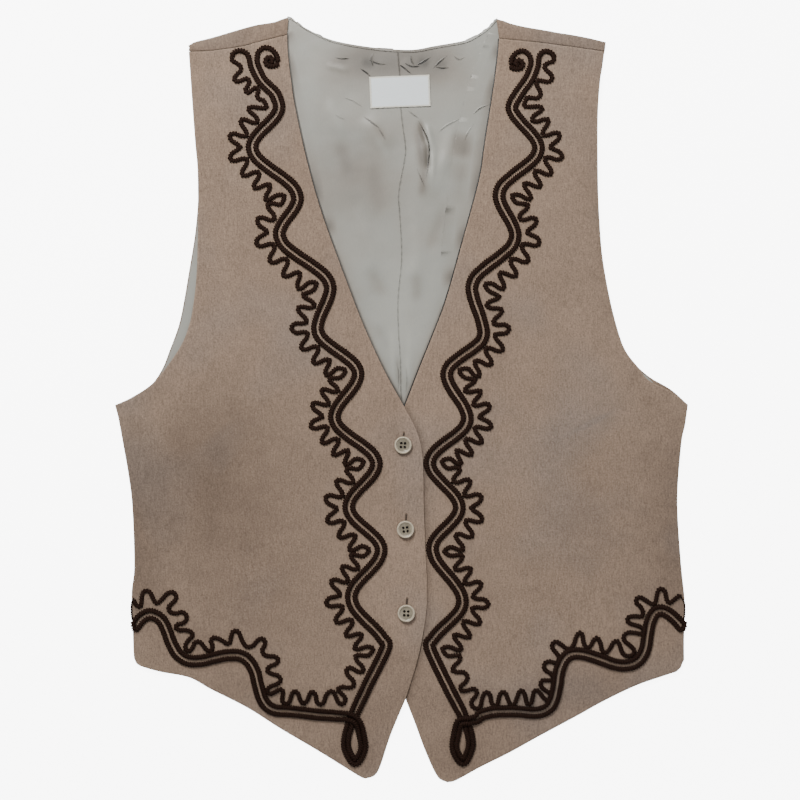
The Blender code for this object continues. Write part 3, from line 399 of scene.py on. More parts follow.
# Buttons
BUTTON_PLACES = {"top": (1.2, -34.9), "middle": (3.1, -100.4), "bottom": (3.7, -165.6)}
BUTTON_TURNS = {"top": -4, "middle": 6, "bottom": -2}
BUTTON_DIMPLE = 0.55
BUTTON_DIMPLE_RADIUS = 13
BUTTON_PROFILE = (  # radius, height
    (0.0, 0.0), (3.0, 0.0), (5.0, 0.1), (6.1, 0.55), (6.62, 1.1), (6.78, 1.6), (6.74, 2.1), (6.5, 2.55),
    (6.12, 2.75), (5.75, 2.7), (5.45, 2.45), (5.25, 2.12), (5.0, 1.9), (4.6, 1.78), (2.5, 1.66), (0.0, 1.62),
)
BUTTON_HOLE_SPACING = 3.0
# The painted highlight on the buttons' raised rim: the radius where it starts, and how wide it grows
BUTTON_RIM_HIGHLIGHT = (4.7, 0.8)  # radius where it starts, and how wide it grows
BUTTON_SIDES = 72
BUTTON_SHARP_FROM = math.radians(50)
BUTTON_HOLE_SIDES = 20
BUTTON_HOLE_DEPTH = 7
THREAD_RADIUS = 0.7
THREAD_TOP = 0.7
THREAD_SIDES = 10

# Buttonholes: each is a slit, bordered with close stitches, that runs up from under its button
# A near-black sheet paints the shade inside each slit
BUTTONHOLE_LENGTH = {"top": 11.8, "middle": 13.8, "bottom": 13.6}
BUTTONHOLE_BELOW = 2.4
BUTTONHOLE_LEAN = 0.6
BUTTONHOLE_HALF = 0.5
BUTTONHOLE_CORD = (0.7, 0.4)
BUTTONHOLE_PITCH = 0.5
BUTTONHOLE_PLAIT = 0.12
BUTTONHOLE_SIDES = 6
BUTTONHOLE_END = 0.7
BUTTONHOLE_JOIN = 0.7
BUTTONHOLE_STEPS = 10
SLIT_ROWS = 14
SLIT_SHARE = 0.72
SLIT_RISE = 0.16

# Label
LABEL_MIDDLE = (-1.2, 241.2)
LABEL_LENGTH = 47.0
LABEL_WIDTH = 24.5
LABEL_TURN = math.radians(2.3)
LABEL_COLUMNS = 60
LABEL_ROWS = 32
LABEL_WALL = 0.45
LABEL_STITCHES = 9
LABEL_BORDER_CELLS = 2
LABEL_REST_ACROSS = (-7, 0, 7)
LABEL_REST_UP = (-5, 0, 5)
LABEL_REST_HEIGHT = 0.95
LABEL_STITCH = (0.16, 0.85, 0.12)
LABEL_STITCH_INSET = 1.1
LABEL_STITCH_MARGIN = 2
LABEL_STITCH_RISE = 0.05

# Braid: the pair of cords swings towards the edge and away from it
PAIR_WIDTH = 3.9
PAIR_HEIGHT = 2.3
PAIR_SPACING = 5.8
DROP_SPACING = 3.8
DROP_MIDDLE = (-36.5, -266)
DROP_REACH = 21
WAVY_WIDTH = 3.2
WAVY_HEIGHT = 2.0
PLAIT_ROWS = 5
PLAIT_ON_TOP = 0.6
CORD_MIDDLE = 0.42
CORD_ABOVE = 0.58
CORD_BELOW = 0.40
CORD_SINK = 0.12
CORD_END_LEAST = 0.03
LAID_STEP = 3.0
LAID_STEPS = 6
PAIR_WOBBLE = (0.18, 14)
WAVY_WOBBLE = (0.2, 9, 4.5)
WAVY_STEPS = 8
CROSSING_REACH = 9
CROSSING_LIFT = 1.9
PAIR_COARSE_STEP = 8.0
WAVE_STEPS = 6
WAVE_FULLNESS = 0.03
WAVE_CROWDING = 0.1
WAVE_SIDEWAYS = 5.4
WAVE_DEEP = 7.6
WAVE_CLEAR = 0.5
EASE_ROUNDS = 12
EASE_FROM = 4

# The knot: a cord wound on itself into a small dome
KNOT_TURNS = 1.3
KNOT_END_ANGLE = math.radians(-14)
KNOT_START_RADIUS = 0.7
KNOT_RADIUS = 4.5
KNOT_TAIL = 2.6
KNOT_TAIL_FROM = 0.84
KNOT_CORD = 1.1
KNOT_DOME = 1.2
KNOT_STEPS = 100

# The pair of cords, at its middle line: it swings towards the front's edge and away from it. The left
# front's numbers are those that it would have as a right front, and mirrored() carries them over
PAIR_TURNS = {
    # x, y of each turn towards the edge, x, y of the next turn away from it, waves of the small cord between,
    # and how far above the turn its deepest wave lies
    "right": (
        (-95.4, 229.5, -116.4, 197.0, 7, 1.6),
        (-81.1, 158.5, -95.2, 129.0, 6, -3.0),
        (-55.7, 88.8, -65.4, 55.4, 6, -1.6),
        (-33.9, 21.2, -52.3, -13.4, 7, -0.8),
        (-19.7, -48.8, -41.1, -83.0, 6, -1.2),
        (-15.8, -116.2, -39.2, -153.0, 7, -1.4),
    ),
    "left": (
        (-94.7, 229.5, -113.9, 196.5, 7, 2.2),
        (-81.7, 160.3, -92.9, 128.0, 6, -4.2),
        (-57.5, 88.4, -65.0, 52.0, 6, -1.8),
        (-34.9, 20.8, -49.5, -14.2, 7, -0.8),
        (-18.7, -48.5, -40.3, -83.0, 6, -1.2),
        (-17.9, -115.4, -39.6, -156.0, 7, -2.6),
    ),
}
PAIR_TOP = {
    "right": ((-115.8, 266), (-114.3, 260), (-109.6, 250.5), (-104.2, 244.5), (-98.8, 239)),
    "left": ((-114.2, 265), (-113.3, 260), (-108.6, 250), (-101.0, 240)),
}
PAIR_SWING_STEPS = 5
PAIR_LAST_TURN = {"right": (-12.5, -192.8), "left": (-12.8, -193.2)}
PAIR_LAST_DEEP_RISE = -2.4
PAIR_BOTTOM = {"right": (-27.2, -223), "left": (-25.6, -223)}
PAIR_CROSSING = {"right": (-37.7, -246.5), "left": (-37.2, -248)}
PAIR_END = (-208.2, -180.4)
DROP_ROUTE = {
    "right": ((-42.8, -262), (-42.6, -273), (-36.2, -282.4), (-30.2, -273), (-31.0, -262), (-34.8, -250)),
    "left": ((-41.1, -262), (-40.8, -272), (-34.9, -282.2), (-28.8, -273), (-29.9, -262), (-33.5, -251)),
}
HEM_PAIR_ROUTE = {
    "right": (
        (-42.0, -246.4), (-49.0, -246.2),
        (-56, -245.7), (-66, -245.2), (-78, -243.7), (-90, -242.6), (-98.5, -242), (-104.7, -238.8),
        (-109.2, -231.9), (-112, -221.4), (-114.6, -210.8), (-119.2, -202.8), (-126.5, -198.6),
        (-136.5, -198.6), (-146.7, -200.8), (-156.8, -203.1), (-167, -202.7), (-174.6, -197.6),
        (-179.7, -188.7), (-183.1, -179.4), (-186.8, -171.8), (-191.8, -168), (-197.5, -167),
        (-203.6, -170.6), (-207.4, -175.6),
    ),
    "left": (
        (-40.5, -249.6), (-47.0, -248.4),
        (-50.3, -245.5), (-60.2, -242.8), (-70.1, -242.5), (-79.9, -242.9), (-89.7, -243.9),
        (-97.6, -243), (-103.7, -239.2), (-107.1, -232.4), (-109.3, -223.4), (-111.3, -212.4),
        (-114.4, -203.9), (-119.7, -198.2), (-127.2, -196.9), (-135.9, -198.9), (-145.6, -202.4),
        (-153.4, -205.4), (-161.2, -206.8), (-169.1, -205.4), (-175.3, -200.4),
        (-179, -192.4), (-180.9, -182.4),
        (-183, -173.4), (-186.6, -166.2), (-191.6, -163.8), (-197.4, -166), (-203.1, -171),
        (-207.8, -176.5),
    ),
}

# The curl at the top: the edge cord arches over the knot, and the inner cord turns back to the small one
ARCH_ROUTE = {
    "right": ((-96.4, 263.5), (-97.3, 268.6), (-101.6, 273.8), (-107.5, 275.0), (-112.0, 271.4)),
    "left": ((-95.6, 261.5), (-96.4, 266.6), (-100.6, 271.4), (-106.1, 272.4), (-110.4, 269.4)),
}
HOOK_ROUTE = {
    "right": ((-132.4, 267.2), (-131.0, 271.0), (-126.8, 272.8), (-122.2, 271.8), (-119.5, 268.8)),
    "left": ((-129.2, 266.8), (-128.4, 270.2), (-124.8, 272.2), (-120.4, 271.6), (-117.6, 268.4)),
}
KNOT_MIDDLE = {"right": (-102.6, 264.8), "left": (-101.2, 262.6)}

# The small wavy cord: how far its middle line lies from the pair's, and its first turns
WAVY_SHIFT_NEAR_EDGE = -16.9
WAVY_SHIFT_AWAY = (-14.6, -0.8)
WAVY_SHIFT_UPPER_SLOPE = 12.8
WAVY_SHIFT_LOWER_SLOPE = 14.8
WAVY_TOP = {
    # its first turns, from under the hook to the first deep wave
    "right": ((-131.8, 264.8), (-129.2, 263.4), (-125.9, 261.0), (-125.3, 257.4), (-128.5, 253.9),
              (-130.4, 250.9), (-128.4, 248.5), (-124.4, 249.4), (-120.8, 250.7), (-118.7, 248.8),
              (-119.7, 245.3), (-121.7, 241.9), (-119.6, 239.6), (-116.3, 241.9), (-113.2, 243.8),
              (-111.5, 241.2), (-112.7, 237.6), (-111.0, 234.6), (-107.6, 233.8)),
    "left": ((-128.4, 264.4), (-124.6, 263.2), (-121.6, 260.6), (-123.0, 257.2), (-126.4, 254.2),
             (-127.0, 250.4), (-123.8, 248.2), (-119.6, 248.8), (-115.8, 249.4), (-113.6, 247.4),
             (-115.2, 244.4), (-117.0, 241.2), (-117.2, 237.6), (-114.2, 235.2), (-110.2, 235.6),
             (-106.8, 235.4)),
}
WAVY_BOTTOM = ((-33, -205), (-43, -222), (-47.5, -231.5))
WAVY_BOTTOM_WAVES = 3

# The small cord along the hem, where its turns stand on each front, and how many points of the waves it
# replaces
WAVY_HEM_JOIN = 11
WAVY_HEM = {
    "right": (
        (-40, -208), (-43, -210.5), (-41, -214.5), (-37.5, -218), (-37.5, -222), (-41, -223.5),
        (-46, -223), (-49.5, -225), (-47, -228), (-43.8, -232), (-45.5, -236.5), (-49, -235.5),
        (-51, -231), (-53, -227), (-56, -226.7), (-58.8, -230), (-60.5, -235), (-63, -237),
        (-66, -235), (-67, -229.5), (-69.5, -227), (-71.5, -229), (-73.5, -234), (-76.5, -236.5),
        (-79, -233.5), (-80.5, -228.5), (-83, -226.5), (-85.5, -229), (-87, -234.5), (-90, -237),
        (-93, -234.5), (-92.7, -230), (-92.3, -226.8), (-94.5, -225.2), (-98, -227), (-102.5, -229),
        (-105, -226.5), (-102, -223), (-97, -221), (-94.2, -218), (-96, -214.5), (-101, -213),
        (-104.5, -210.5), (-102.5, -207), (-98, -205.3), (-95.8, -202), (-98.5, -199.3), (-104, -199),
        (-107.5, -197.5), (-108.5, -194), (-106.5, -190.5), (-106.5, -187), (-109.5, -185.5),
        (-112.5, -187.5), (-115.5, -191), (-119.5, -192), (-122, -190.5), (-124.5, -186),
        (-126.5, -181), (-129, -179.5), (-131.5, -180.5), (-132.8, -184), (-133.5, -188.5),
        (-136, -189.5), (-139, -187.5), (-143, -185.5), (-146.5, -185), (-148.5, -187.5),
        (-147.2, -191), (-148, -194.5), (-151, -195), (-153.5, -192.5), (-156, -189), (-159, -188),
        (-161.5, -189.5), (-163, -193), (-165.5, -195.5), (-168, -194.5), (-168.5, -191), (-166, -187),
        (-163, -183.5), (-164, -180.5), (-168, -179), (-173, -179), (-176, -177), (-174.5, -174.5),
        (-170.5, -173.5), (-167.5, -170.5), (-168, -167), (-171, -165), (-175.5, -166), (-180, -165),
        (-181.5, -161.5), (-179, -158.5), (-176, -155), (-176, -151.5), (-178.5, -149.5),
        (-182.5, -150.5), (-186, -154), (-189.5, -157.5), (-192, -157.5), (-194, -154),
        (-196.5, -149.5), (-199.5, -148.5), (-202, -150.5), (-202.8, -155), (-203.3, -160),
        (-205, -161), (-207.5, -159.5), (-209.5, -155.2),
    ),
    "left": (
        (45, -211.5), (49, -212), (51.5, -215.5), (49.5, -219.5), (46, -222.5), (46.5, -226),
        (51, -226), (56, -224.5), (58.7, -226.8), (57.5, -230.5), (54.6, -234.5), (55.2, -238.5),
        (58.5, -240.3), (61.5, -238.5), (62.7, -233), (64.2, -228.7), (66.7, -227.3), (69, -229.7),
        (70, -235), (72.5, -238.2), (75, -236), (76.2, -230.5), (78, -227.5), (81, -228),
        (82.7, -232.5), (85, -237.3), (88, -236.8), (90, -232), (91.5, -227.2), (94, -226),
        (96, -229.5), (98, -236.3), (101, -236.3), (102.5, -231), (103.2, -227), (105.5, -225.8),
        (108, -228), (110.5, -231.5), (113.5, -233.8), (116.3, -232.3), (116, -229), (112, -226),
        (109, -223.5), (108.3, -220.5), (110, -218), (114, -218), (117.3, -217.8), (117.8, -215.3),
        (116, -212.8), (112.5, -210.5), (111, -208), (111.7, -204.8), (115, -203.3), (119, -204.3),
        (122, -203.5), (122.5, -200), (120.5, -196.5), (117.6, -193), (117.5, -189.7), (120.5, -188),
        (124, -190), (128, -193), (131.5, -193.3), (134.3, -189.5), (136, -184), (138.5, -181),
        (140.7, -182.5), (141.7, -188), (143.5, -192.3), (147, -191.5), (149.5, -187), (152.5, -185),
        (154.7, -188.5), (156.2, -194.5), (159.3, -196.3), (162.5, -193), (165, -188.7), (168, -187.5),
        (170, -191), (172.2, -197), (176, -199.3), (180, -198.3), (181.3, -195), (178, -191),
        (174, -187.5), (173, -184), (176, -181), (181, -181), (186.5, -181.8), (188.5, -179.8),
        (187.3, -177.3), (183.5, -175.5), (178.5, -174), (176, -171.5), (177.5, -168.8), (182, -168.3),
        (187, -168.4), (188.3, -165), (186.3, -161), (182.8, -157.5), (183.7, -154.2), (187, -153.8),
        (191, -156.3), (195.5, -158.8), (198, -157.3), (199.2, -152), (200.7, -147.9), (203.5, -147.3),
        (205.8, -150), (207, -156), (209.5, -157.8), (213, -155.5), (216.5, -153), (218.6, -153.6),
    ),
}

# A thin length of the small cord that runs down the side to the pair's ends
SIDE_CORD = {
    "right": ((-209.2, -154.2), (-210.7, -158), (-210.9, -165), (-210.2, -172)),
    "left": ((218.4, -153.6), (220.9, -158), (221.2, -165), (220.6, -172)),
}
SIDE_CORD_SIZE = (1.1, 1.2)

# The left front's braid mirrors the right one's across a line that leans a little
MIRROR_X = -4.4
MIRROR_Y = 230.3
MIRROR_LEAN = -0.0215
HEM_STRETCH = 0.016
HEM_STRETCH_FROM = 60
HEM_STRETCH_BELOW = -154

# Stage
CAMERA_LENS = 80
CAMERA_SENSOR = 36
PICTURE_WIDTH = 624
PICTURE_MIDDLE = (-1.17, 0.23)
PICTURE_LEVEL = 5
NEAREST_SEEN = 50
FLOOR_SIZE = 4000
FLOOR_LEVEL = -0.4
KEY_LIGHT = (600, (-400, 1000, 1200), (1.0, 0.985, 0.96))  # size, place, colour
FILL_LIGHT = (2200, (900, -300, 2300), (0.96, 0.98, 1.0))


# Curves

def smooth_curve(points, per_span=CURVE_STEPS):
    """A smooth curve through the points (Catmull-Rom), as many closely spaced points."""
    points = [Vector(point) for point in points]
    padded = [2 * points[0] - points[1], *points, 2 * points[-1] - points[-2]]
    curve = []
    for before, start, end, after in zip(padded, padded[1:], padded[2:], padded[3:]):
        for step in range(per_span):
            t = step / per_span
            curve.append(0.5 * (2 * start + (end - before) * t
                                + (2 * before - 5 * start + 4 * end - after) * t ** 2
                                + (3 * start - before - 3 * end + after) * t ** 3))
    curve.append(points[-1])
    return curve


def curve_length(curve):
    return sum((end - start).length for start, end in zip(curve, curve[1:]))


def at_shares(curve, shares):
    """The curve's points at the given shares of its length, which rise from 0 to 1."""
    total = curve_length(curve)
    spots = []
    walked = 0.0
    for start, end in zip(curve, curve[1:]):
        span = (end - start).length
        while len(spots) < len(shares) - 1 and walked + span >= total * shares[len(spots)]:
            spots.append(start.lerp(end, (total * shares[len(spots)] - walked) / max(span, 1e-9)))
        walked += span
    while len(spots) < len(shares):
        spots.append(curve[-1])
    return spots


def evenly(curve, cells):
    return at_shares(curve, [index / cells for index in range(cells + 1)])


def by_step(curve, step):
    return evenly(curve, max(2, round(curve_length(curve) / step)))


def crowded_shares(cells):
    """Shares from 0 to 1 that lie closer together near both ends."""
    return [index / cells - EDGE_CROWDING * math.sin(2 * math.pi * index / cells) / (2 * math.pi)
            for index in range(cells + 1)]


def across(curve, index):
    """The unit vector to the left of the way along the curve, at one of its points."""
    ahead = curve[min(index + 1, len(curve) - 1)]
    behind = curve[max(index - 1, 0)]
    along = (ahead - behind).normalized()
    return Vector((-along.y, along.x))


def beside(curve, distance):
    """The curve moved sideways, to its left where distance is positive."""
    return [point + distance * across(curve, index) for index, point in enumerate(curve)]


def way_from(point, curve):
    """The vector to a point from the nearest spot of a curve."""
    ways = []
    for start, end in zip(curve, curve[1:]):
        span = end - start
        share = min(max((point - start).dot(span) / span.length_squared, 0.0), 1.0)
        ways.append(point - start - share * span)
    return min(ways, key=lambda way: way.length_squared)


# The lie of the cloth: these work on arrays of points

def soft(value):
    """0 below 0, 1 above 1, and a smooth rise between."""
    value = np.clip(value, 0.0, 1.0)
    return value * value * (3 - 2 * value)


def distance_to(points, lines):
    """The distance of each point to the nearest of some lines."""
    least = np.full(len(points), np.inf)
    for line in lines:
        for start, end in zip(line, line[1:]):
            start = np.array(start)
            span = np.array(end) - start
            share = np.clip((points - start) @ span / (span @ span), 0, 1)
            least = np.minimum(least, np.linalg.norm(points - start - share[:, None] * span, axis=1))
    return least


def edge_lines(fronts, *names):
    return [by_step(smooth_curve(front[name]), EDGE_STEP) for name in names for front in fronts]


def fold_height(points, folds):
    """The height that soft folds add: each is a ridge or a trough that fades at its ends."""
    height = np.zeros(len(points))
    for x0, y0, x1, y1, half_width, depth in folds:
        start = np.array((x0, y0))
        span = np.array((x1, y1)) - start
        share = (points - start) @ span / (span @ span)
        aside = np.linalg.norm(points - start - share[:, None] * span, axis=1) / half_width
        fade = soft(FOLD_END_SHARE + FOLD_END_RISE * np.minimum(share, 1 - share))
        height += depth * fade * np.exp(-aside * aside)
    return height


def uneven(points, waves, seed):
    """Gentle swells of several wave lengths."""
    height = np.zeros(len(points))
    for number, (length, depth) in enumerate(waves):
        shift = Vector((seed + number, 3 * seed, 0.5))
        height += depth * np.array([noise.noise(Vector((x, y, 0)) / length + shift) for x, y in points])
    return height


def back_hem_at(x):
    hem = np.array(smooth_curve(BACK["hem"]))
    return np.interp(x, hem[:, 0], hem[:, 1])


def swell_at(points):
    """How far the fronts stand above their lowest lie."""
    from_side = soft(distance_to(points, edge_lines(FRONTS, "side")) / SWELL_FROM_SIDE)
    from_hem = soft(distance_to(points, edge_lines(FRONTS, "hem", "tail")) / SWELL_FROM_HEM)
    from_seam = soft(distance_to(points, edge_lines(FRONTS, "seam")) / SWELL_FROM_SEAM)
    from_neck = soft(distance_to(points, edge_lines(FRONTS, "neck")) / SWELL_FROM_NECK)
    from_armhole = soft(distance_to(points, edge_lines(FRONTS, "armhole")) / SWELL_FROM_ARMHOLE)
    inside = from_side * from_hem * from_seam
    neck_part = NECK_SHARE + (1 - NECK_SHARE) * from_neck
    armhole_part = ARMHOLE_SHARE + (1 - ARMHOLE_SHARE) * from_armhole
    swell = SWELL * inside * neck_part * armhole_part
    folds = fold_height(points, FRONT_FOLDS) * np.minimum(1.0, 2 * inside)
    return np.maximum(swell + folds, 0.0)


def overlap_at(points):
    """1 where the right front lies on the left one, and 0 well away from there."""
    from_side = soft((points[:, 0] - OVERLAP_SIDE) / OVERLAP_SIDE_RISE)
    from_top = soft((OVERLAP_TOP - points[:, 1]) / OVERLAP_TOP_RISE)
    from_bottom = soft((points[:, 1] - OVERLAP_BOTTOM) / OVERLAP_BOTTOM_RISE)
    return from_side * from_top * from_bottom


def edge_roll(points, lines, depth, reach):
    """How far the cloth's face drops as it turns under at its edges."""
    near = np.clip(1 - distance_to(points, lines) / reach, 0, 1)
    return depth * (1 - np.sqrt(1 - near * near))


def painted_shading_beside(away, tone, reach):
    """Painted shading, lighter where tone is above 0 and darker below, that is strongest at a line and fades
    away from it.
    """
    return tone * np.exp(-(away / reach) ** 2)


def front_top(points, front, on_top, settings):
    """The height of a front's face at each point, and its painted light and shade there."""
    level = SIDE_UNDER + (FRONT_UNDER - SIDE_UNDER) * soft(
        distance_to(points, edge_lines(FRONTS, "side")) / SIDE_ROLL)
    past_hem = soft((back_hem_at(points[:, 0]) - HEM_DROP_START - points[:, 1]) / HEM_DROP)
    level += (HEM_POINT_UNDER - level) * past_hem
    if on_top:
        level += OVERLAP_LIFT * overlap_at(points)
    swell = swell_at(points)
    loose = np.minimum(1.0, swell)
    creases = fold_height(points, FRONT_CREASES) * settings.crease_depth
    # Painted light and shade: the table's places, and lighter ridges and darker troughs of the creases
    painted_shading = fold_height(points, FRONT_PAINTED_SHADING) + CREASE_PAINTED_SHADING / 2 * creases
    creases += uneven(points, CLOTH_UNEVEN, 2 if on_top else 5)
    for x, y in BUTTON_PLACES.values():
        away = np.linalg.norm(points - np.array((x, y)), axis=1) / BUTTON_DIMPLE_RADIUS
        creases -= BUTTON_DIMPLE * np.exp(-away * away)
    own_edges = edge_lines((front,), *front)
    roll = edge_roll(points, own_edges, settings.edge_drop / MM, settings.edge_reach / MM)
    # A painted highlight along the front's own edges
    painted_shading += painted_shading_beside(distance_to(points, own_edges), EDGE_PAINTED_HIGHLIGHT, EDGE_PAINTED_HIGHLIGHT_REACH)
    # A painted shadow cast by the right front's edge onto the left front
    if not on_top:
        upper_edge = distance_to(points, edge_lines((RIGHT_FRONT,), "front", "tail"))
        painted_shading += painted_shading_beside(upper_edge, UNDERLAP_PAINTED_SHADOW, UNDERLAP_PAINTED_SHADOW_REACH)
    return level + FRONT_WALL + np.maximum(swell + creases * loose, 0.0) - roll, painted_shading


def lining_top(points, settings):
    """The height of the lining's face at each point, and its painted light and shade there."""
    from_neck_edge = distance_to(points, edge_lines(FRONTS, "neck"))
    inside = soft(from_neck_edge / LINING_FOLD_FADE - LINING_FOLD_START)
    in_neck = soft((LINING_FOLD_TOP - points[:, 1]) / LINING_FOLD_FADE)
    height = fold_height(points, LINING_FOLDS) * inside * in_neck
    fine = fold_height(points, LINING_CREASES) * settings.crease_depth
    # Painted light and shade: the table's places, and darker troughs and lighter ridges of the creases
    painted_shading = fold_height(points, LINING_PAINTED_SHADING)
    painted_shading += TROUGH_PAINTED_SHADE * np.minimum(fine, 0) + CREASE_PAINTED_SHADING * np.maximum(fine, 0)
    # Painted shadow beside the fronts' neck edges
    painted_shading += painted_shading_beside(from_neck_edge, NECK_PAINTED_SHADOW, NECK_PAINTED_SHADOW_REACH)
    painted_shading += painted_shading_beside(from_neck_edge, NECK_PAINTED_SHADE, NECK_PAINTED_SHADE_REACH)
    fine += uneven(points, LINING_UNEVEN, 11)
    in_the_v = np.array([in_v(x, y) for x, y in points])
    fine *= np.where(in_the_v, 1.0, soft(1 - from_neck_edge / LINING_FLAT_REACH))
    return LINING_TOP + np.maximum(height + fine, LINING_DEEPEST), painted_shading


NECK_LINES = [sorted((point[1], point[0]) for point in smooth_curve(front["neck"], NECK_STEPS))
              for front in (RIGHT_FRONT, LEFT_FRONT)]


def in_v(x, y):
    """Whether a point lies in the opening of the neck, between the two fronts."""
    right, left = (np.interp(y, *zip(*line)) for line in NECK_LINES)
    return right < x < left and y > NECK_LOWEST


# Meshes

def grid_sheet(places):
    """A sheet with its corners, numbered row by row, at the places: rows of points in millimetres."""
    rows, columns = places.shape[0] - 1, places.shape[1] - 1
    sheet = bmesh.new()
    bmesh.ops.create_grid(sheet, x_segments=columns, y_segments=rows, size=1)
    for corner in sheet.verts:
        column = round((corner.co.x + 1) / 2 * columns)
        row = round((1 - corner.co.y) / 2 * rows)
        corner.co = Vector(places[row, column]) * MM
        corner.index = row * (columns + 1) + column
    return sheet


def add_values(sheet, name, values):
    """Gives each numbered corner its value, for the materials to read."""
    layer = sheet.verts.layers.float.new(name)
    for corner in sheet.verts:
        corner[layer] = values[corner.index]


def face_up(sheet):
    """Turns the sheet's faces over if they look down."""
    sheet.normal_update()
    if sum(face.normal.z for face in sheet.faces) < 0:
        bmesh.ops.reverse_faces(sheet, faces=sheet.faces[:])


def patch(top, bottom, left, right):
    """Points between four edges (a Coons patch), as an array of rows."""
    top, bottom, left, right = (np.array([tuple(point) for point in edge])
                                for edge in (top, bottom, left, right))
    over = np.linspace(0, 1, len(top))[None, :, None]
    down = np.linspace(0, 1, len(left))[:, None, None]
    ruled = (1 - over) * left[:, None] + over * right[:, None] + (1 - down) * top[None] + down * bottom[None]
    corners = ((1 - over) * (1 - down) * top[0] + over * (1 - down) * top[-1]
               + (1 - over) * down * bottom[0] + over * down * bottom[-1])
    return ruled - corners


def cloth_sheet(points, lie):
    """A sheet over a patch's points; lie(points) gives the height and the painted light and shade of each."""
    flat = points.reshape(-1, 2)
    heights, painted_shading = lie(flat)
    places = np.concatenate([flat, heights[:, None]], axis=1).reshape(*points.shape[:2], 3)
    sheet = grid_sheet(places)
    add_values(sheet, "tone", painted_shading)
    return sheet


def new_piece(name, mesh_data, material):
    """A finished piece that rides on the garment."""
    mesh = bpy.data.meshes.new(name)
    mesh_data.to_mesh(mesh)
    mesh_data.free()
    mesh.materials.append(material)
    mesh.shade_smooth()
    piece = bpy.data.objects.new(name, mesh)
    bpy.context.scene.collection.objects.link(piece)
    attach(piece, "root")
    return piece


def add_wall(piece, wall, rounding):
    """Gives a sheet its thickness, behind its face, and rounds its edges."""
    solid = piece.modifiers.new("Wall", "SOLIDIFY")
    solid.thickness = wall * MM
    solid.offset = -1
    round_off = piece.modifiers.new("Edges", "BEVEL")
    round_off.width = rounding * MM
    round_off.segments = 2
    round_off.limit_method = "ANGLE"
    round_off.angle_limit = ROUNDED_FROM


class Surface:
    """The face of a sheet, as what lies on it finds it."""

    def __init__(self, sheet):
        self.tree = BVHTree.FromBMesh(sheet)

    def top(self, x, y):
        above = Vector((x, y, ABOVE_ALL)) * MM
        hit = self.tree.ray_cast(above, Vector((0, 0, -1)))[0]
        if hit is None:
            hit = self.tree.find_nearest(above)[0]
        return hit.z / MM


surfaces = {}


# Shader node groups

def group(name, inputs, outputs):
    """A node group with its sockets, and its two end nodes."""
    tree = bpy.data.node_groups.new(name, "ShaderNodeTree")
    for label, value in inputs.items():
        kind = "NodeSocketColor" if isinstance(value, tuple) else "NodeSocketFloat"
        socket = tree.interface.new_socket(label, in_out="INPUT", socket_type=kind)
        socket.default_value = value
    for label, kind in outputs.items():
        tree.interface.new_socket(label, in_out="OUTPUT", socket_type=kind)
    return tree, tree.nodes.new("NodeGroupInput"), tree.nodes.new("NodeGroupOutput")


def math_node(tree, operation, first, second=0.0, third=0.0, clamp=False):
    node = tree.nodes.new("ShaderNodeMath")
    node.operation = operation
    node.use_clamp = clamp
    for socket, value in zip(node.inputs, (first, second, third)):
        if isinstance(value, bpy.types.NodeSocket):
            tree.links.new(value, socket)
        else:
            socket.default_value = value
    return node.outputs[0]


def mix_colour(tree, share, first, second, blend="MIX"):
    node = tree.nodes.new("ShaderNodeMix")
    node.data_type = "RGBA"
    node.blend_type = blend
    for socket, value in ((node.inputs[0], share), (node.inputs[6], first), (node.inputs[7], second)):
        if isinstance(value, bpy.types.NodeSocket):
            tree.links.new(value, socket)
        else:
            socket.default_value = value
    return node.outputs[2]


def noise_value(tree, place, pitch, detail=2.0, stretch=(1, 1, 1)):
    """Noise with features about pitch metres across, drawn out by stretch."""
    mapping = tree.nodes.new("ShaderNodeMapping")
    tree.links.new(place, mapping.inputs["Vector"])
    mapping.inputs["Scale"].default_value = [1 / part for part in stretch]
    texture = tree.nodes.new("ShaderNodeTexNoise")
    texture.inputs["Scale"].default_value = 1 / pitch
    texture.inputs["Detail"].default_value = detail
    tree.links.new(mapping.outputs[0], texture.inputs["Vector"])
    return texture.outputs[0]


def object_place(tree):
    return tree.nodes.new("ShaderNodeTexCoord").outputs["Object"]


def attribute_value(tree, name):
    node = tree.nodes.new("ShaderNodeAttribute")
    node.attribute_name = name
    return node.outputs["Fac"]


def scaled_colour(tree, colour, share):
    node = tree.nodes.new("ShaderNodeVectorMath")
    node.operation = "SCALE"
    tree.links.new(colour, node.inputs[0])
    tree.links.new(share, node.inputs["Scale"])
    return node.outputs[0]


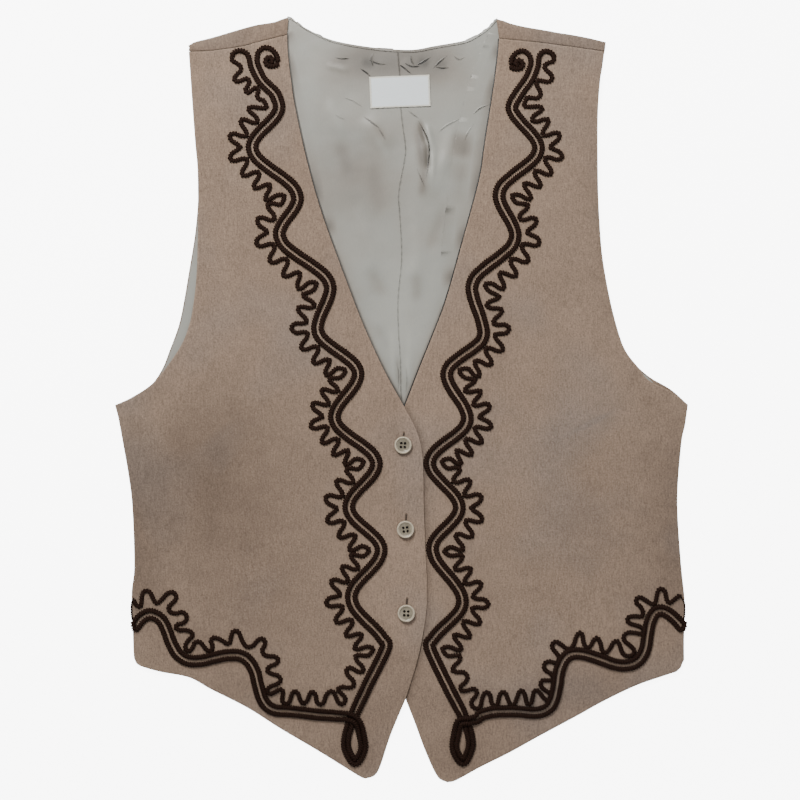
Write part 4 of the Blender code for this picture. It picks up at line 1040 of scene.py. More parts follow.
def yarn_group():
    """Fine yarns: they run along the axis that is drawn out, and shade the colour by turns."""
    tree, inside, outside = group(
        "Yarns",
        {"Colour": (0.5, 0.5, 0.5, 1), "Fineness": 2000.0, "Across": 1.0, "Upright": 1.0, "Depth": 0.1,
         "Lighter": 0.0},
        {"Colour": "NodeSocketColor", "Height": "NodeSocketFloat"},
    )
    stretch = tree.nodes.new("ShaderNodeCombineXYZ")
    stretch.inputs[2].default_value = 1.0
    tree.links.new(inside.outputs["Across"], stretch.inputs[0])
    tree.links.new(inside.outputs["Upright"], stretch.inputs[1])
    drawn = tree.nodes.new("ShaderNodeVectorMath")
    drawn.operation = "MULTIPLY"
    tree.links.new(object_place(tree), drawn.inputs[0])
    tree.links.new(stretch.outputs[0], drawn.inputs[1])
    texture = tree.nodes.new("ShaderNodeTexNoise")
    texture.inputs["Detail"].default_value = 1.0
    tree.links.new(drawn.outputs[0], texture.inputs["Vector"])
    tree.links.new(inside.outputs["Fineness"], texture.inputs["Scale"])
    centred = math_node(tree, "SUBTRACT", texture.outputs[0], 0.5)
    yarns = math_node(tree, "MULTIPLY_ADD", centred, inside.outputs["Depth"], 1.0)
    shade = math_node(tree, "ADD", yarns, inside.outputs["Lighter"])
    tree.links.new(scaled_colour(tree, inside.outputs["Colour"], shade), outside.inputs["Colour"])
    tree.links.new(texture.outputs[0], outside.inputs["Height"])
    return tree


def crepe_group():
    """Crepe with upright slubs: its colour, with painted light and shade in it, and its height."""
    tree, inside, outside = group(
        "Crepe weave",
        {"Colour": (0.3, 0.23, 0.18, 1), "Greyer": (0.25, 0.22, 0.19, 1), "Slubs": 0.5},
        {"Colour": "NodeSocketColor", "Height": "NodeSocketFloat"},
    )
    place = object_place(tree)
    slubs = noise_value(tree, place, 0.0012, 2, (1, 5, 1))
    yarns = noise_value(tree, place, 0.0007, 1, (1, 3, 1))
    grain = noise_value(tree, place, 0.0012, 2)
    patches = noise_value(tree, place, 0.09, 2)
    clouds = noise_value(tree, place, 0.016, 4)
    height = math_node(tree, "MULTIPLY", slubs, 0.6)
    height = math_node(tree, "MULTIPLY_ADD", yarns, 0.5, height)
    height = math_node(tree, "MULTIPLY_ADD", grain, 0.9, height)
    centred = math_node(tree, "SUBTRACT", height, 1.0)
    streak = math_node(tree, "MULTIPLY_ADD", centred, inside.outputs["Slubs"], 1.0)
    grey = math_node(tree, "MULTIPLY_ADD", patches, 3.2, -1.6)
    grey = math_node(tree, "ADD", grey, attribute_value(tree, "greyer"), clamp=True)
    base = mix_colour(tree, grey, inside.outputs["Colour"], inside.outputs["Greyer"])
    cloud = math_node(tree, "MULTIPLY_ADD", clouds, 0.28, 0.86)
    # Painted light and shade: the attribute "tone" lightens and darkens the cloth's colour
    lighter = math_node(tree, "ADD", cloud, attribute_value(tree, "tone"))
    shade = math_node(tree, "MULTIPLY", streak, lighter)
    tree.links.new(scaled_colour(tree, base, shade), outside.inputs["Colour"])
    tree.links.new(height, outside.inputs["Height"])
    return tree


def place_group(material, tree, values):
    node = material.node_tree.nodes.new("ShaderNodeGroup")
    node.node_tree = tree
    for name, value in values.items():
        node.inputs[name].default_value = value
    return node


def new_material(name, **values):
    """A material, and its shader with these values set on its own sockets."""
    material = bpy.data.materials.new(name)
    material.use_nodes = True
    shader = material.node_tree.nodes["Principled BSDF"]
    for socket, value in values.items():
        shader.inputs[socket.replace("_", " ")].default_value = value
    return material, shader


def add_bump(material, shader, height, distance, strength):
    bump = material.node_tree.nodes.new("ShaderNodeBump")
    bump.inputs["Distance"].default_value = distance
    bump.inputs["Strength"].default_value = strength
    material.node_tree.links.new(height, bump.inputs["Height"])
    material.node_tree.links.new(bump.outputs[0], shader.inputs["Normal"])


def opaque(colour):
    return (*colour, 1)


def cloth_material(settings, crepe):
    material, shader = new_material("crepe", Roughness=0.9, Sheen_Weight=0.25, Sheen_Roughness=0.5)
    shader.inputs["Specular IOR Level"].default_value = 0.2
    weave = place_group(material, crepe, {
        "Colour": opaque(settings.colour),
        "Greyer": opaque(settings.greyer),
        "Slubs": settings.slubs,
    })
    material.node_tree.links.new(weave.outputs["Colour"], shader.inputs["Base Color"])
    add_bump(material, shader, weave.outputs["Height"], settings.relief, 0.8)
    return material


def lining_material(name, settings, yarns, paints_groove_shade):
    """Satin: softly glossy, warmer and cooler by turns, with painted light and shade, and painted shade in
    the grooves of seam and creases.
    """
    material, shader = new_material(name, Roughness=0.42)
    tree = material.node_tree
    place = object_place(tree)
    tint = math_node(tree, "MULTIPLY_ADD", noise_value(tree, place, 0.045, 2), 1.8, -0.7)
    # The tint varies at random, and turns warmer where the painted shade is darker
    tint = math_node(tree, "MULTIPLY_ADD", attribute_value(tree, "tone"), PAINTED_SHADE_WARMING, tint, clamp=True)
    colour = mix_colour(tree, tint, opaque(settings.cool), opaque(settings.warm))
    # Painted light and shade from the attribute "tone"
    lighter = attribute_value(tree, "tone")
    # Painted shade along the grooves of the seam, creases and neck strips, from the attribute "groove"
    if paints_groove_shade:
        lighter = math_node(tree, "MULTIPLY_ADD", attribute_value(tree, "groove"), -0.95, lighter)
    weave = place_group(material, yarns, {"Fineness": 2000.0, "Upright": 1 / 6, "Depth": 0.1})
    tree.links.new(colour, weave.inputs["Colour"])
    tree.links.new(lighter, weave.inputs["Lighter"])
    tree.links.new(weave.outputs["Colour"], shader.inputs["Base Color"])
    rough = math_node(tree, "MULTIPLY_ADD", noise_value(tree, place, 0.004, 2), 0.16, 0.36)
    tree.links.new(rough, shader.inputs["Roughness"])
    add_bump(material, shader, weave.outputs["Height"], 0.00006, 0.4)
    return material


def braid_material(settings):
    """Plaited cord: slanting yarns that meet along the cord's middle."""
    material, shader = new_material("plaited_cord", Roughness=0.7, IOR=1.2)
    tree = material.node_tree
    around = math_node(tree, "SUBTRACT", attribute_value(tree, "around"), 0.25)
    from_middle = math_node(tree, "ABSOLUTE", around)
    slant = math_node(tree, "MULTIPLY_ADD", from_middle, settings.slant, attribute_value(tree, "along"))
    turn = math_node(tree, "MULTIPLY", slant, 2 * math.pi / settings.pitch)
    yarn = math_node(tree, "MULTIPLY_ADD", math_node(tree, "SINE", turn), 0.5, 0.5)
    fibres = math_node(tree, "SINE", math_node(tree, "MULTIPLY", turn, 5.0))
    height = math_node(tree, "MULTIPLY_ADD", fibres, 0.12, yarn)
    dust = noise_value(tree, object_place(tree), 0.0016, 2)
    # Painted shade between the yarns and painted light on their crests, with a noise that varies the brown at
    # random
    light = math_node(tree, "MULTIPLY_ADD", dust, 0.8, math_node(tree, "MULTIPLY_ADD", yarn, 0.9, 0.1))
    colour = mix_colour(tree, math_node(tree, "MULTIPLY", light, 0.6, clamp=True),
                        opaque(settings.dark), opaque(settings.light))
    tree.links.new(colour, shader.inputs["Base Color"])
    add_bump(material, shader, height, 0.00025, 0.9)
    return material


def button_material(settings):
    material, shader = new_material("polished_button", Roughness=0.3, Coat_Weight=0.25, Coat_Roughness=0.15)
    tree = material.node_tree
    place = object_place(tree)
    cloud = math_node(tree, "MULTIPLY_ADD", noise_value(tree, place, 0.004, 3, (1, 2, 1)), 1.2, -0.45)
    # A painted highlight: the attribute "rim" turns the raised rim to the paler vein colour
    cloud = math_node(tree, "ADD", cloud, attribute_value(tree, "rim"), clamp=True)
    colour = mix_colour(tree, cloud, opaque(settings.colour), opaque(settings.vein_and_rim_highlight))
    tree.links.new(colour, shader.inputs["Base Color"])
    rough = math_node(tree, "MULTIPLY_ADD", noise_value(tree, place, 0.0009, 2), 0.2, 0.24)
    tree.links.new(rough, shader.inputs["Roughness"])
    add_bump(material, shader, noise_value(tree, place, 0.0005, 2), 0.00003, 0.3)
    return material


def thread_material(name, colour, yarns):
    material, shader = new_material(name, Roughness=0.8)
    twist = place_group(material, yarns, {"Colour": opaque(colour), "Fineness": 2500.0, "Depth": 0.7})
    material.node_tree.links.new(twist.outputs["Colour"], shader.inputs["Base Color"])
    add_bump(material, shader, twist.outputs["Height"], 0.0001, 0.6)
    return material


def label_material(settings, yarns):
    """Woven tape: fine ribs, with a slightly creamier folded border."""
    material, shader = new_material("woven_tape", Roughness=0.65)
    tree = material.node_tree
    border = attribute_value(tree, "border")
    colour = mix_colour(tree, border, opaque(settings.colour), opaque(settings.border))
    ribs = place_group(material, yarns, {"Fineness": 2500.0, "Across": 1 / 8, "Depth": 0.1})
    tree.links.new(colour, ribs.inputs["Colour"])
    tree.links.new(ribs.outputs["Colour"], shader.inputs["Base Color"])
    add_bump(material, shader, ribs.outputs["Height"], 0.00008, 0.5)
    return material


# Settings

def length_value(label, text, default):
    return FloatProperty(name=label, description=text, default=default, unit="LENGTH", subtype="DISTANCE",
                         precision=5)


def colour_value(label, text, default):
    return FloatVectorProperty(name=label, description=text, default=default, size=3, subtype="COLOR",
                               min=0.0, max=1.0)


class ClothSettings(bpy.types.PropertyGroup):
    colour: colour_value("Cloth colour", "The crepe's own colour", (0.254, 0.181, 0.133))
    greyer: colour_value("Greyer patches", "The crepe where it looks a little greyer", (0.226, 0.176, 0.145))
    slubs: FloatProperty(name="Slubs", description="How strongly the upright slubs show in the colour",
                         default=0.95, min=0.0, max=2.0, subtype="FACTOR")
    relief: length_value("Weave relief", "The height of the weave", 0.0003)
    crease_depth: FloatProperty(name="Crease depth", description="How deep the creases are", default=1.0,
                                min=0.0, max=2.0, subtype="FACTOR")
    edge_drop: length_value("Edge drop", "How far the cloth's face drops at its turned edges", 0.00045)
    edge_reach: length_value("Edge reach", "How far in from an edge the cloth turns down", 0.002)


class LiningSettings(bpy.types.PropertyGroup):
    cool: colour_value("Cool grey", "The lining's cooler tone", (0.305, 0.303, 0.272))
    warm: colour_value("Warm grey", "The lining's warmer tone", (0.290, 0.262, 0.222))
    crease_depth: FloatProperty(name="Crease depth", description="How deep the lining's creases are",
                                default=1.0, min=0.0, max=2.0, subtype="FACTOR")
    seam_width: length_value("Seam width", "The width of the centre seam's two lips together", 0.0026)


class BraidSettings(bpy.types.PropertyGroup):
    # The cord is dark brown; the darker colour between its yarns is painted shade, and the lighter on their
    # crests painted light
    dark: colour_value("Dark brown", "The colour between the cord's yarns", (0.0040, 0.0014, 0.0008))
    light: colour_value("Light brown", "The colour on top of the cord's yarns", (0.0260, 0.0110, 0.0065))
    pair_width: length_value("Pair cord width", "The width of each cord of the pair", 0.0036)
    wavy_width: length_value("Small cord width", "The width of the small wavy cord", 0.0031)
    pitch: length_value("Plait pitch", "The length of one plait along the cord", 0.0019)
    plait: FloatProperty(name="Plait depth", description="How far the plaits stand out, in cord widths",
                         default=0.3, min=0.0, max=0.4, subtype="FACTOR")
    slant: length_value("Slant", "How far the yarns slant along the cord in a quarter turn", 0.005)
    sides: IntProperty(name="Sides", description="Faces round each cord", default=10, min=6, max=24)


class ButtonSettings(bpy.types.PropertyGroup):
    colour: colour_value("Button colour", "The buttons' own colour", (0.18, 0.156, 0.11))
    # The vein colour paints the marbled streaks, and also the painted highlight on the rim
    vein_and_rim_highlight: colour_value("Vein colour", "The paler rim and streaks of the buttons", (0.49, 0.42, 0.315))
    thread: colour_value("Thread colour", "The sewing thread and buttonholes", (0.10, 0.068, 0.046))
    # Painted shade: the near-black inside of each buttonhole's slit, which the buttons' thread takes too
    slit: colour_value("Slit colour", "The dark inside of a buttonhole", (0.008, 0.005, 0.004))
    hole: length_value("Hole diameter", "The diameter of each of a button's four holes", 0.0022)


class LabelSettings(bpy.types.PropertyGroup):
    colour: colour_value("Tape colour", "The bare woven tape", (0.78, 0.83, 0.85))
    border: colour_value("Border colour", "The folded border of the tape", (0.66, 0.64, 0.56))


class StageSettings(bpy.types.PropertyGroup):
    floor: colour_value("Floor colour", "The plain floor", (0.92, 0.92, 0.92))
    glow: FloatProperty(name="Floor glow", description="How brightly the floor shines to the camera alone",
                        default=8.0, min=0.0, max=20.0)
    key: FloatProperty(name="Key light", description="The power of the large light", default=31.0, min=0.0,
                       unit="POWER")
    fill: FloatProperty(name="Fill light", description="The power of the softer light", default=10.0, min=0.0,
                        unit="POWER")
    sky: FloatProperty(name="Sky", description="The strength of the even light from all round", default=0.32,
                       min=0.0, max=5.0)


# Braid routes

def mirrored(point):
    """The same place on the left front."""
    middle = MIRROR_X + MIRROR_LEAN * (point[1] - MIRROR_Y)
    x = 2 * middle - point[0]
    if point[1] < HEM_STRETCH_BELOW:
        x += HEM_STRETCH * max(0.0, x - HEM_STRETCH_FROM)
    return Vector((x, point[1]))


def pair_turns(side):
    """The pair's turns, in order down the front."""
    turns = []
    for near_x, near_y, away_x, away_y, waves, rise in PAIR_TURNS[side]:
        turns.append(Vector((near_x, near_y)))
        turns.append(Vector((away_x, away_y)))
    turns.append(Vector(PAIR_LAST_TURN[side]))
    return turns


def swinging(turns):
    """Points between the turns, so that the pair swings round them as softly as a pendulum."""
    points = []
    for start, end in zip(turns, turns[1:]):
        for step in range(PAIR_SWING_STEPS):
            share = step / PAIR_SWING_STEPS
            swung = (1 - math.cos(math.pi * share)) / 2
            points.append(Vector((start.x + (end.x - start.x) * swung, start.y + (end.y - start.y) * share)))
    return [*points, turns[-1]]


def beside_slope(start, end, distance):
    """A point beside the middle of a slope between two turns, on the armhole side."""
    along = (end - start).normalized()
    return (start + end) / 2 + distance * Vector((along.y, -along.x))


def wavy_stretches(side):
    """The small cord's middle line, in stretches between its deep waves: waves, crowding, curve points."""
    turns = pair_turns(side)
    near = turns[0::2]
    away = turns[1::2]
    rises = [row[-1] for row in PAIR_TURNS[side]] + [PAIR_LAST_DEEP_RISE]
    deeps = [turn + Vector((WAVY_SHIFT_NEAR_EDGE, rise)) for turn, rise in zip(near, rises)]
    stretches = []
    for index, turn in enumerate(away):
        upper = beside_slope(near[index], turn, WAVY_SHIFT_UPPER_SLOPE)
        lower = beside_slope(turn, near[index + 1], WAVY_SHIFT_LOWER_SLOPE)
        far = turn + Vector(WAVY_SHIFT_AWAY)
        points = [deeps[index], upper, far, lower, deeps[index + 1]]
        stretches.append((PAIR_TURNS[side][index][4], WAVE_CROWDING, points))
    stretches.append((WAVY_BOTTOM_WAVES, 0, [deeps[-1], *WAVY_BOTTOM]))
    return stretches


def along_at(phase, marks):
    """The distance along the middle line at which a number of waves is reached."""
    walked = 0.0
    for waves, crowding, length in marks:
        if phase <= waves:
            share = phase / waves
            return walked + length * (share - crowding * math.sin(2 * math.pi * share) / (2 * math.pi))
        phase -= waves
        walked += length
    return walked


def wavy_curve(side):
    """The small cord: its first turns, then waves across its middle line, deeper where two stretches meet."""
    stretches = wavy_stretches(side)
    knots = [stretches[0][2][0]]
    deep_waves = [0]
    for waves, crowding, points in stretches:
        knots.extend(points[1:])
        deep_waves.append(deep_waves[-1] + waves)
    middle = smooth_curve(knots, ROUTE_STEPS)
    marks = []
    start = 0
    for waves, crowding, points in stretches:
        end = start + (len(points) - 1) * ROUTE_STEPS
        marks.append((waves, crowding, curve_length(middle[start:end + 1])))
        start = end
    fine = by_step(middle, FINE_STEP)
    total = curve_length(middle)
    route = [Vector(point) for point in WAVY_TOP[side]]
    for step in range(round(WAVE_STEPS * deep_waves[-1]) + 1):
        phase = step / WAVE_STEPS
        fuller = phase + WAVE_FULLNESS * math.sin(4 * math.pi * phase)
        place = along_at(fuller, marks) / total * (len(fine) - 1)
        index = min(int(place), len(fine) - 2)
        point = fine[index].lerp(fine[index + 1], place - index)
        edge_side = across(fine, index)
        swing = math.cos(2 * math.pi * phase)
        deepness = max(0.0, 1 - 2 * min(abs(phase - wave) for wave in deep_waves[:-1]))
        reach = WAVE_SIDEWAYS + (WAVE_DEEP - WAVE_SIDEWAYS) * deepness
        route.append(point + swing * reach * edge_side)
    return route


def kept_apart(route, neighbours):
    """The small cord's points, eased away from its own other turns and from the cords beside it."""
    route = list(route)
    own = WAVY_WIDTH + WAVE_CLEAR
    beside_pair = (WAVY_WIDTH + PAIR_WIDTH) / 2 + WAVE_CLEAR
    for _ in range(EASE_ROUNDS):
        for index in range(1, len(route)):
            for far in range(index + EASE_FROM, min(index + 2 * WAVE_STEPS, len(route))):
                apart = route[far] - route[index]
                push = max(0.0, own - apart.length) / 2 * apart.normalized()
                route[index] = route[index] - push
                route[far] = route[far] + push
            for curve in neighbours:
                way = way_from(route[index], curve)
                route[index] = route[index] + max(0.0, beside_pair - way.length) * way.normalized()
    return route


# Cords

def cord_mesh(route, width, height, pitch, plait, sides, surface, lift=None):
    """A plaited cord on a sheet: rings along its route, which bulge by turns as the plaits do."""
    curve = by_step(route, pitch / PLAIT_ROWS)
    rows = len(curve) - 1
    step = curve_length(curve) / rows
    places = np.zeros((rows + 1, sides + 1, 3))
    for row, point in enumerate(curve):
        side = across(curve, row)
        half = side * width / 2
        left = surface.top(*(point + half))
        right = surface.top(*(point - half))
        middle = max(surface.top(*point), (left + right) / 2)
        walked = row * step
        from_end = min(walked, rows * step - walked)
        end = math.sqrt(max(CORD_END_LEAST, 1 - max(0.0, 1 - from_end / (width / 2)) ** 2))
        raise_by = lift(point, walked) if lift else 0.0
        for column in range(sides + 1):
            turn = 2 * math.pi * column / sides
            other_half = 0.5 if math.cos(turn) < 0 else 0.0
            bulge = 2 * abs(math.sin(math.pi * (walked / pitch + other_half))) - 1
            swell = 1 + plait * bulge * (PLAIT_ON_TOP + (1 - PLAIT_ON_TOP) * abs(math.cos(turn)))
            out = math.cos(turn) * end * swell
            rise = math.sin(turn) * end
            up = height * (CORD_MIDDLE + (CORD_ABOVE * rise * swell if rise > 0 else CORD_BELOW * rise))
            level = middle + (left - right) / 2 * out
            places[row, column] = (*(point + half * out), level + up - CORD_SINK + raise_by)
    mesh = grid_sheet(places)
    add_values(mesh, "along", [row * step * MM for row in range(rows + 1) for _ in range(sides + 1)])
    add_values(mesh, "around", [column / sides for _ in range(rows + 1) for column in range(sides + 1)])
    return mesh


def close_cord(mesh, sides):
    """Joins the cord's tube along its length and closes its two ends."""
    bmesh.ops.remove_doubles(mesh, verts=mesh.verts[:], dist=WELD * MM)
    ends = [edge for edge in mesh.edges if edge.is_boundary]
    bmesh.ops.holes_fill(mesh, edges=ends, sides=sides)
    bmesh.ops.recalc_face_normals(mesh, faces=mesh.faces[:])


def wobbled(curve, depth, length, seed):
    """The route with the slight unevenness of a cord laid by hand."""
    moved = []
    for index, point in enumerate(curve):
        sway = noise.noise(Vector((point.x / length, point.y / length, seed)))
        moved.append(point + depth * sway * across(curve, index))
    return moved


def merge_into(target, source):
    """Adds a bmesh's faces to another and frees it."""
    spare = bpy.data.meshes.new("spare")
    source.to_mesh(spare)
    source.free()
    target.from_mesh(spare)
    bpy.data.meshes.remove(spare)


# Operators

class MakeBack(bpy.types.Operator):
    """Makes the back of crepe, folded forward over the shoulders"""
    bl_idname = "vest.make_back"
    bl_label = "Make back"

    def execute(self, context):
        settings = context.scene.vest_cloth
        right_fold = evenly(smooth_curve(BACK["right_shoulder"]), BACK_SHOULDER_COLUMNS)
        left_fold = evenly(smooth_curve(BACK["left_shoulder"]), BACK_SHOULDER_COLUMNS)[::-1]
        right_inner = beside(right_fold, -FOLD_RADIUS)
        left_inner = beside(left_fold, -FOLD_RADIUS)
        neck = smooth_curve((right_inner[-1], *BACK["neck"][1:-1], left_inner[0]))
        top = right_inner + evenly(neck, BACK_NECK_COLUMNS)[1:-1] + left_inner
        bottom = evenly(smooth_curve(BACK["hem"]), len(top) - 1)
        upper = crowded_shares(BACK_UPPER_ROWS)
        lower = crowded_shares(BACK_LOWER_ROWS)
        right_arm = smooth_curve((right_inner[0], *BACK["right_armhole"][1:]))
        left_arm = smooth_curve((left_inner[-1], *BACK["left_armhole"][1:]))
        left = at_shares(right_arm, upper) + at_shares(smooth_curve(RIGHT_FRONT["side"]), lower)[1:]
        right = at_shares(left_arm, upper) + at_shares(smooth_curve(LEFT_FRONT["side"]), lower)[1:]
        sheet = cloth_sheet(patch(top, bottom, left, right), self.flat)
        for fold, seam in ((right_fold, RIGHT_FRONT["seam"]), (left_fold, LEFT_FRONT["seam"][::-1])):
            self.fold_over(sheet, fold, evenly(smooth_curve(seam), BACK_SHOULDER_COLUMNS), settings)
        sheet.normal_update()
        lowest = [face for face in sheet.faces if face.calc_center_median().z < 1e-6]
        if sum(face.normal.z for face in lowest) > 0:
            bmesh.ops.reverse_faces(sheet, faces=sheet.faces[:])
        piece = new_piece("cloth_back", sheet, bpy.data.materials["crepe"])
        add_wall(piece, BACK_WALL, BACK_ROUNDING)
        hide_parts("back")
        return {"FINISHED"}

    def flat(self, points):
        return np.zeros(len(points)), np.full(len(points), STRIP_PAINTED_SHADE)

    def fold_over(self, sheet, fold, seam, settings):
        """Carries the sheet's shoulder edge up, round the fold line and forward to the seam."""
        inward = [-across(fold, index) for index in range(len(fold))]
        start = [line + FOLD_RADIUS * way for line, way in zip(fold, inward)]
        path = []
        for step in range(1, FOLD_STEPS + 1):
            angle = math.pi * step / FOLD_STEPS
            out = FOLD_RADIUS * math.sin(angle)
            height = FOLD_RADIUS * (1 - math.cos(angle))
            path.append([(*(point - out * way), height) for point, way in zip(start, inward)])
        stop = [point + 0.5 * GAP * across(seam, index) for index, point in enumerate(seam)]
        for step in range(1, STRIP_ROWS + 1):
            share = 1 - (1 - step / STRIP_ROWS) ** STRIP_CROWDING
            row = [point.lerp(end, share) for point, end in zip(start, stop)]
            flat = np.array([tuple(point) for point in row])
            puff = STRIP_PUFF * math.sin(math.pi * min(share * STRIP_PUFF_FULL, 1.0))
            wrinkles = fold_height(flat, STRIP_CREASES) * settings.crease_depth * math.sin(math.pi * share)
            drop = STRIP_SEAM_DROP if step == STRIP_ROWS else 0.0
            path.append([(*point, FRONT_TOP + puff + extra - drop) for point, extra in zip(row, wrinkles)])
        sheet.verts.ensure_lookup_table()
        edge = [min(sheet.verts, key=lambda v: (v.co - Vector((*point, 0)) * MM).length) for point in start]
        for places in path:
            edge = self.extrude_row(sheet, edge, places)

    def extrude_row(self, sheet, edge, places):
        lines = [sheet.edges.get((start, end)) for start, end in zip(edge, edge[1:])]
        made = bmesh.ops.extrude_edge_only(sheet, edges=lines)["geom"]
        new_verts = {part for part in made if isinstance(part, bmesh.types.BMVert)}
        row = []
        for old, place in zip(edge, places):
            new = next(e.other_vert(old) for e in old.link_edges if e.other_vert(old) in new_verts)
            new.co = Vector(place) * MM
            row.append(new)
        return row


class MakeLining(bpy.types.Operator):
    """Makes the creased satin lining of the back, with its centre seam"""
    bl_idname = "vest.make_lining"
    bl_label = "Make lining"

    def execute(self, context):
        settings = context.scene.vest_lining
        right_shoulder = evenly(smooth_curve(BACK["right_shoulder"]), LINING_SHOULDER_COLUMNS)
        left_shoulder = evenly(smooth_curve(BACK["left_shoulder"]), LINING_SHOULDER_COLUMNS)[::-1]
        neck = evenly(smooth_curve(BACK["neck"]), LINING_NECK_COLUMNS)
        top = (beside(right_shoulder, -LINING_SHOULDER_INSET) + beside(neck, -LINING_NECK_INSET)[1:-1]
               + beside(left_shoulder, -LINING_SHOULDER_INSET))
        left = self.inset_edge(BACK["right_armhole"], RIGHT_FRONT["side"], 1)
        right = self.inset_edge(BACK["left_armhole"], LEFT_FRONT["side"], -1)
        left[0] = top[0] + Vector((LINING_ARMHOLE_INSET, 0))
        right[0] = top[-1] - Vector((LINING_ARMHOLE_INSET, 0))
        top[0] = left[0]
        top[-1] = right[0]
        hem = [point + Vector((0, LINING_HEM_INSET)) for point in smooth_curve(BACK["hem"])]
        first, last = left[-1].x + LINING_HEM_CLEAR, right[-1].x - LINING_HEM_CLEAR
        inside = [point for point in hem if first < point.x < last]
        left[-1].y = inside[0].y
        right[-1].y = inside[-1].y
        hem = [left[-1], *inside, right[-1]]
        low, high = LINING_HEM_MIDDLE
        bottom = (evenly([point for point in hem if point.x <= low], LINING_SHOULDER_COLUMNS)[:-1]
                  + evenly([point for point in hem if low <= point.x <= high], LINING_NECK_COLUMNS)
                  + evenly([point for point in hem if point.x >= high], LINING_SHOULDER_COLUMNS)[1:])
        sheet = cloth_sheet(patch(top, bottom, left, right), lambda points: lining_top(points, settings))
        face_up(sheet)
        surfaces["lining"] = Surface(sheet)
        piece = new_piece("satin_lining", sheet, bpy.data.materials["satin"])
        add_wall(piece, LINING_WALL, LINING_ROUNDING)
        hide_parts("back_lining")
        lines = [self.make_seam(settings), self.make_creases(settings)]
        return {"FINISHED"}

    def inset_edge(self, armhole, side, way):
        upper = beside(smooth_curve(armhole), way * LINING_ARMHOLE_INSET)
        lower = beside(evenly(smooth_curve(side), LINING_LOWER_ROWS), way * LINING_SIDE_INSET)
        corner = lower[0]
        upper = [point for point in upper if (point - corner).length > LINING_CORNER_CLEAR
                 and way * (point.x - corner.x) > 0]
        shares = [(row / LINING_UPPER_ROWS) ** (1 + LINING_ROW_CROWDING)
                  for row in range(LINING_UPPER_ROWS + 1)]
        return at_shares([*upper, corner], shares) + lower[1:]

    def make_seam(self, settings):
        """The centre seam: two soft lips, puckered by turns, with a painted shadow in the groove between
        them.
        """
        curve = by_step(smooth_curve(LINING_SEAM), SEAM_STEP)
        puckers = []
        for row in range(len(curve)):
            drift = SEAM_PUCKER_UNEVEN * noise.noise(Vector((row * SEAM_PUCKER_DRIFT, 0, 0)))
            puckers.append(1 + SEAM_PUCKER * math.sin(row * SEAM_PUCKER_TURN + drift))
        strip = self.strip_along(curve, SEAM_PROFILE, settings.seam_width / MM / 2, puckers, 1.0, settings)
        return new_piece("lining_seam", strip, bpy.data.materials["lining_painted_shadow_lines"])

    def make_creases(self, settings):
        """The lining's sharp creases: narrow folds, each with a painted shadow line, that taper to nothing.
        """
        joined = bmesh.new()
        for points, darkness in LINING_SHARP_CREASES:
            curve = by_step(smooth_curve(points), CREASE_STEP)
            whole = len(curve) - 1 + 2 * CREASE_END
            tapers = [math.sin(math.pi * (row + CREASE_END) / whole) ** CREASE_TAPER
                      for row in range(len(curve))]
            crease = self.strip_along(curve, CREASE_PROFILE, CREASE_HALF, tapers, darkness, settings)
            merge_into(joined, crease)
        # Painted shadow strips on the lining beside the fronts' neck edges
        for front, half, darkness in NECK_SHADOWS:
            curve = by_step(smooth_curve(front["neck"], NECK_STEPS), SEAM_STEP)
            even = [1.0] * len(curve)
            shadow = self.strip_along(curve, NECK_SHADOW_PROFILE, half, even, darkness, settings)
            merge_into(joined, shadow)
        return new_piece("lining_creases", joined, bpy.data.materials["lining_painted_shadow_lines"])

    def strip_along(self, curve, profile, half, swells, darkness, settings):
        """A narrow strip on the lining, with the profile's heights and its painted dark lines of shade."""
        places = np.zeros((len(curve), len(profile), 3))
        grooves = []
        for row, (point, swell) in enumerate(zip(curve, swells)):
            side = across(curve, row)
            for column, (share, height, groove) in enumerate(profile):
                spot = point - side * half * share * min(1.0, swell)
                lift = height * swell if height > 0 else height
                places[row, column] = (*spot, surfaces["lining"].top(*spot) + lift)
                grooves.append(groove * darkness * min(1.0, swell))
        strip = grid_sheet(places)
        add_values(strip, "groove", grooves)
        add_values(strip, "tone", lining_top(places[:, :, :2].reshape(-1, 2), settings)[1])
        face_up(strip)
        return strip


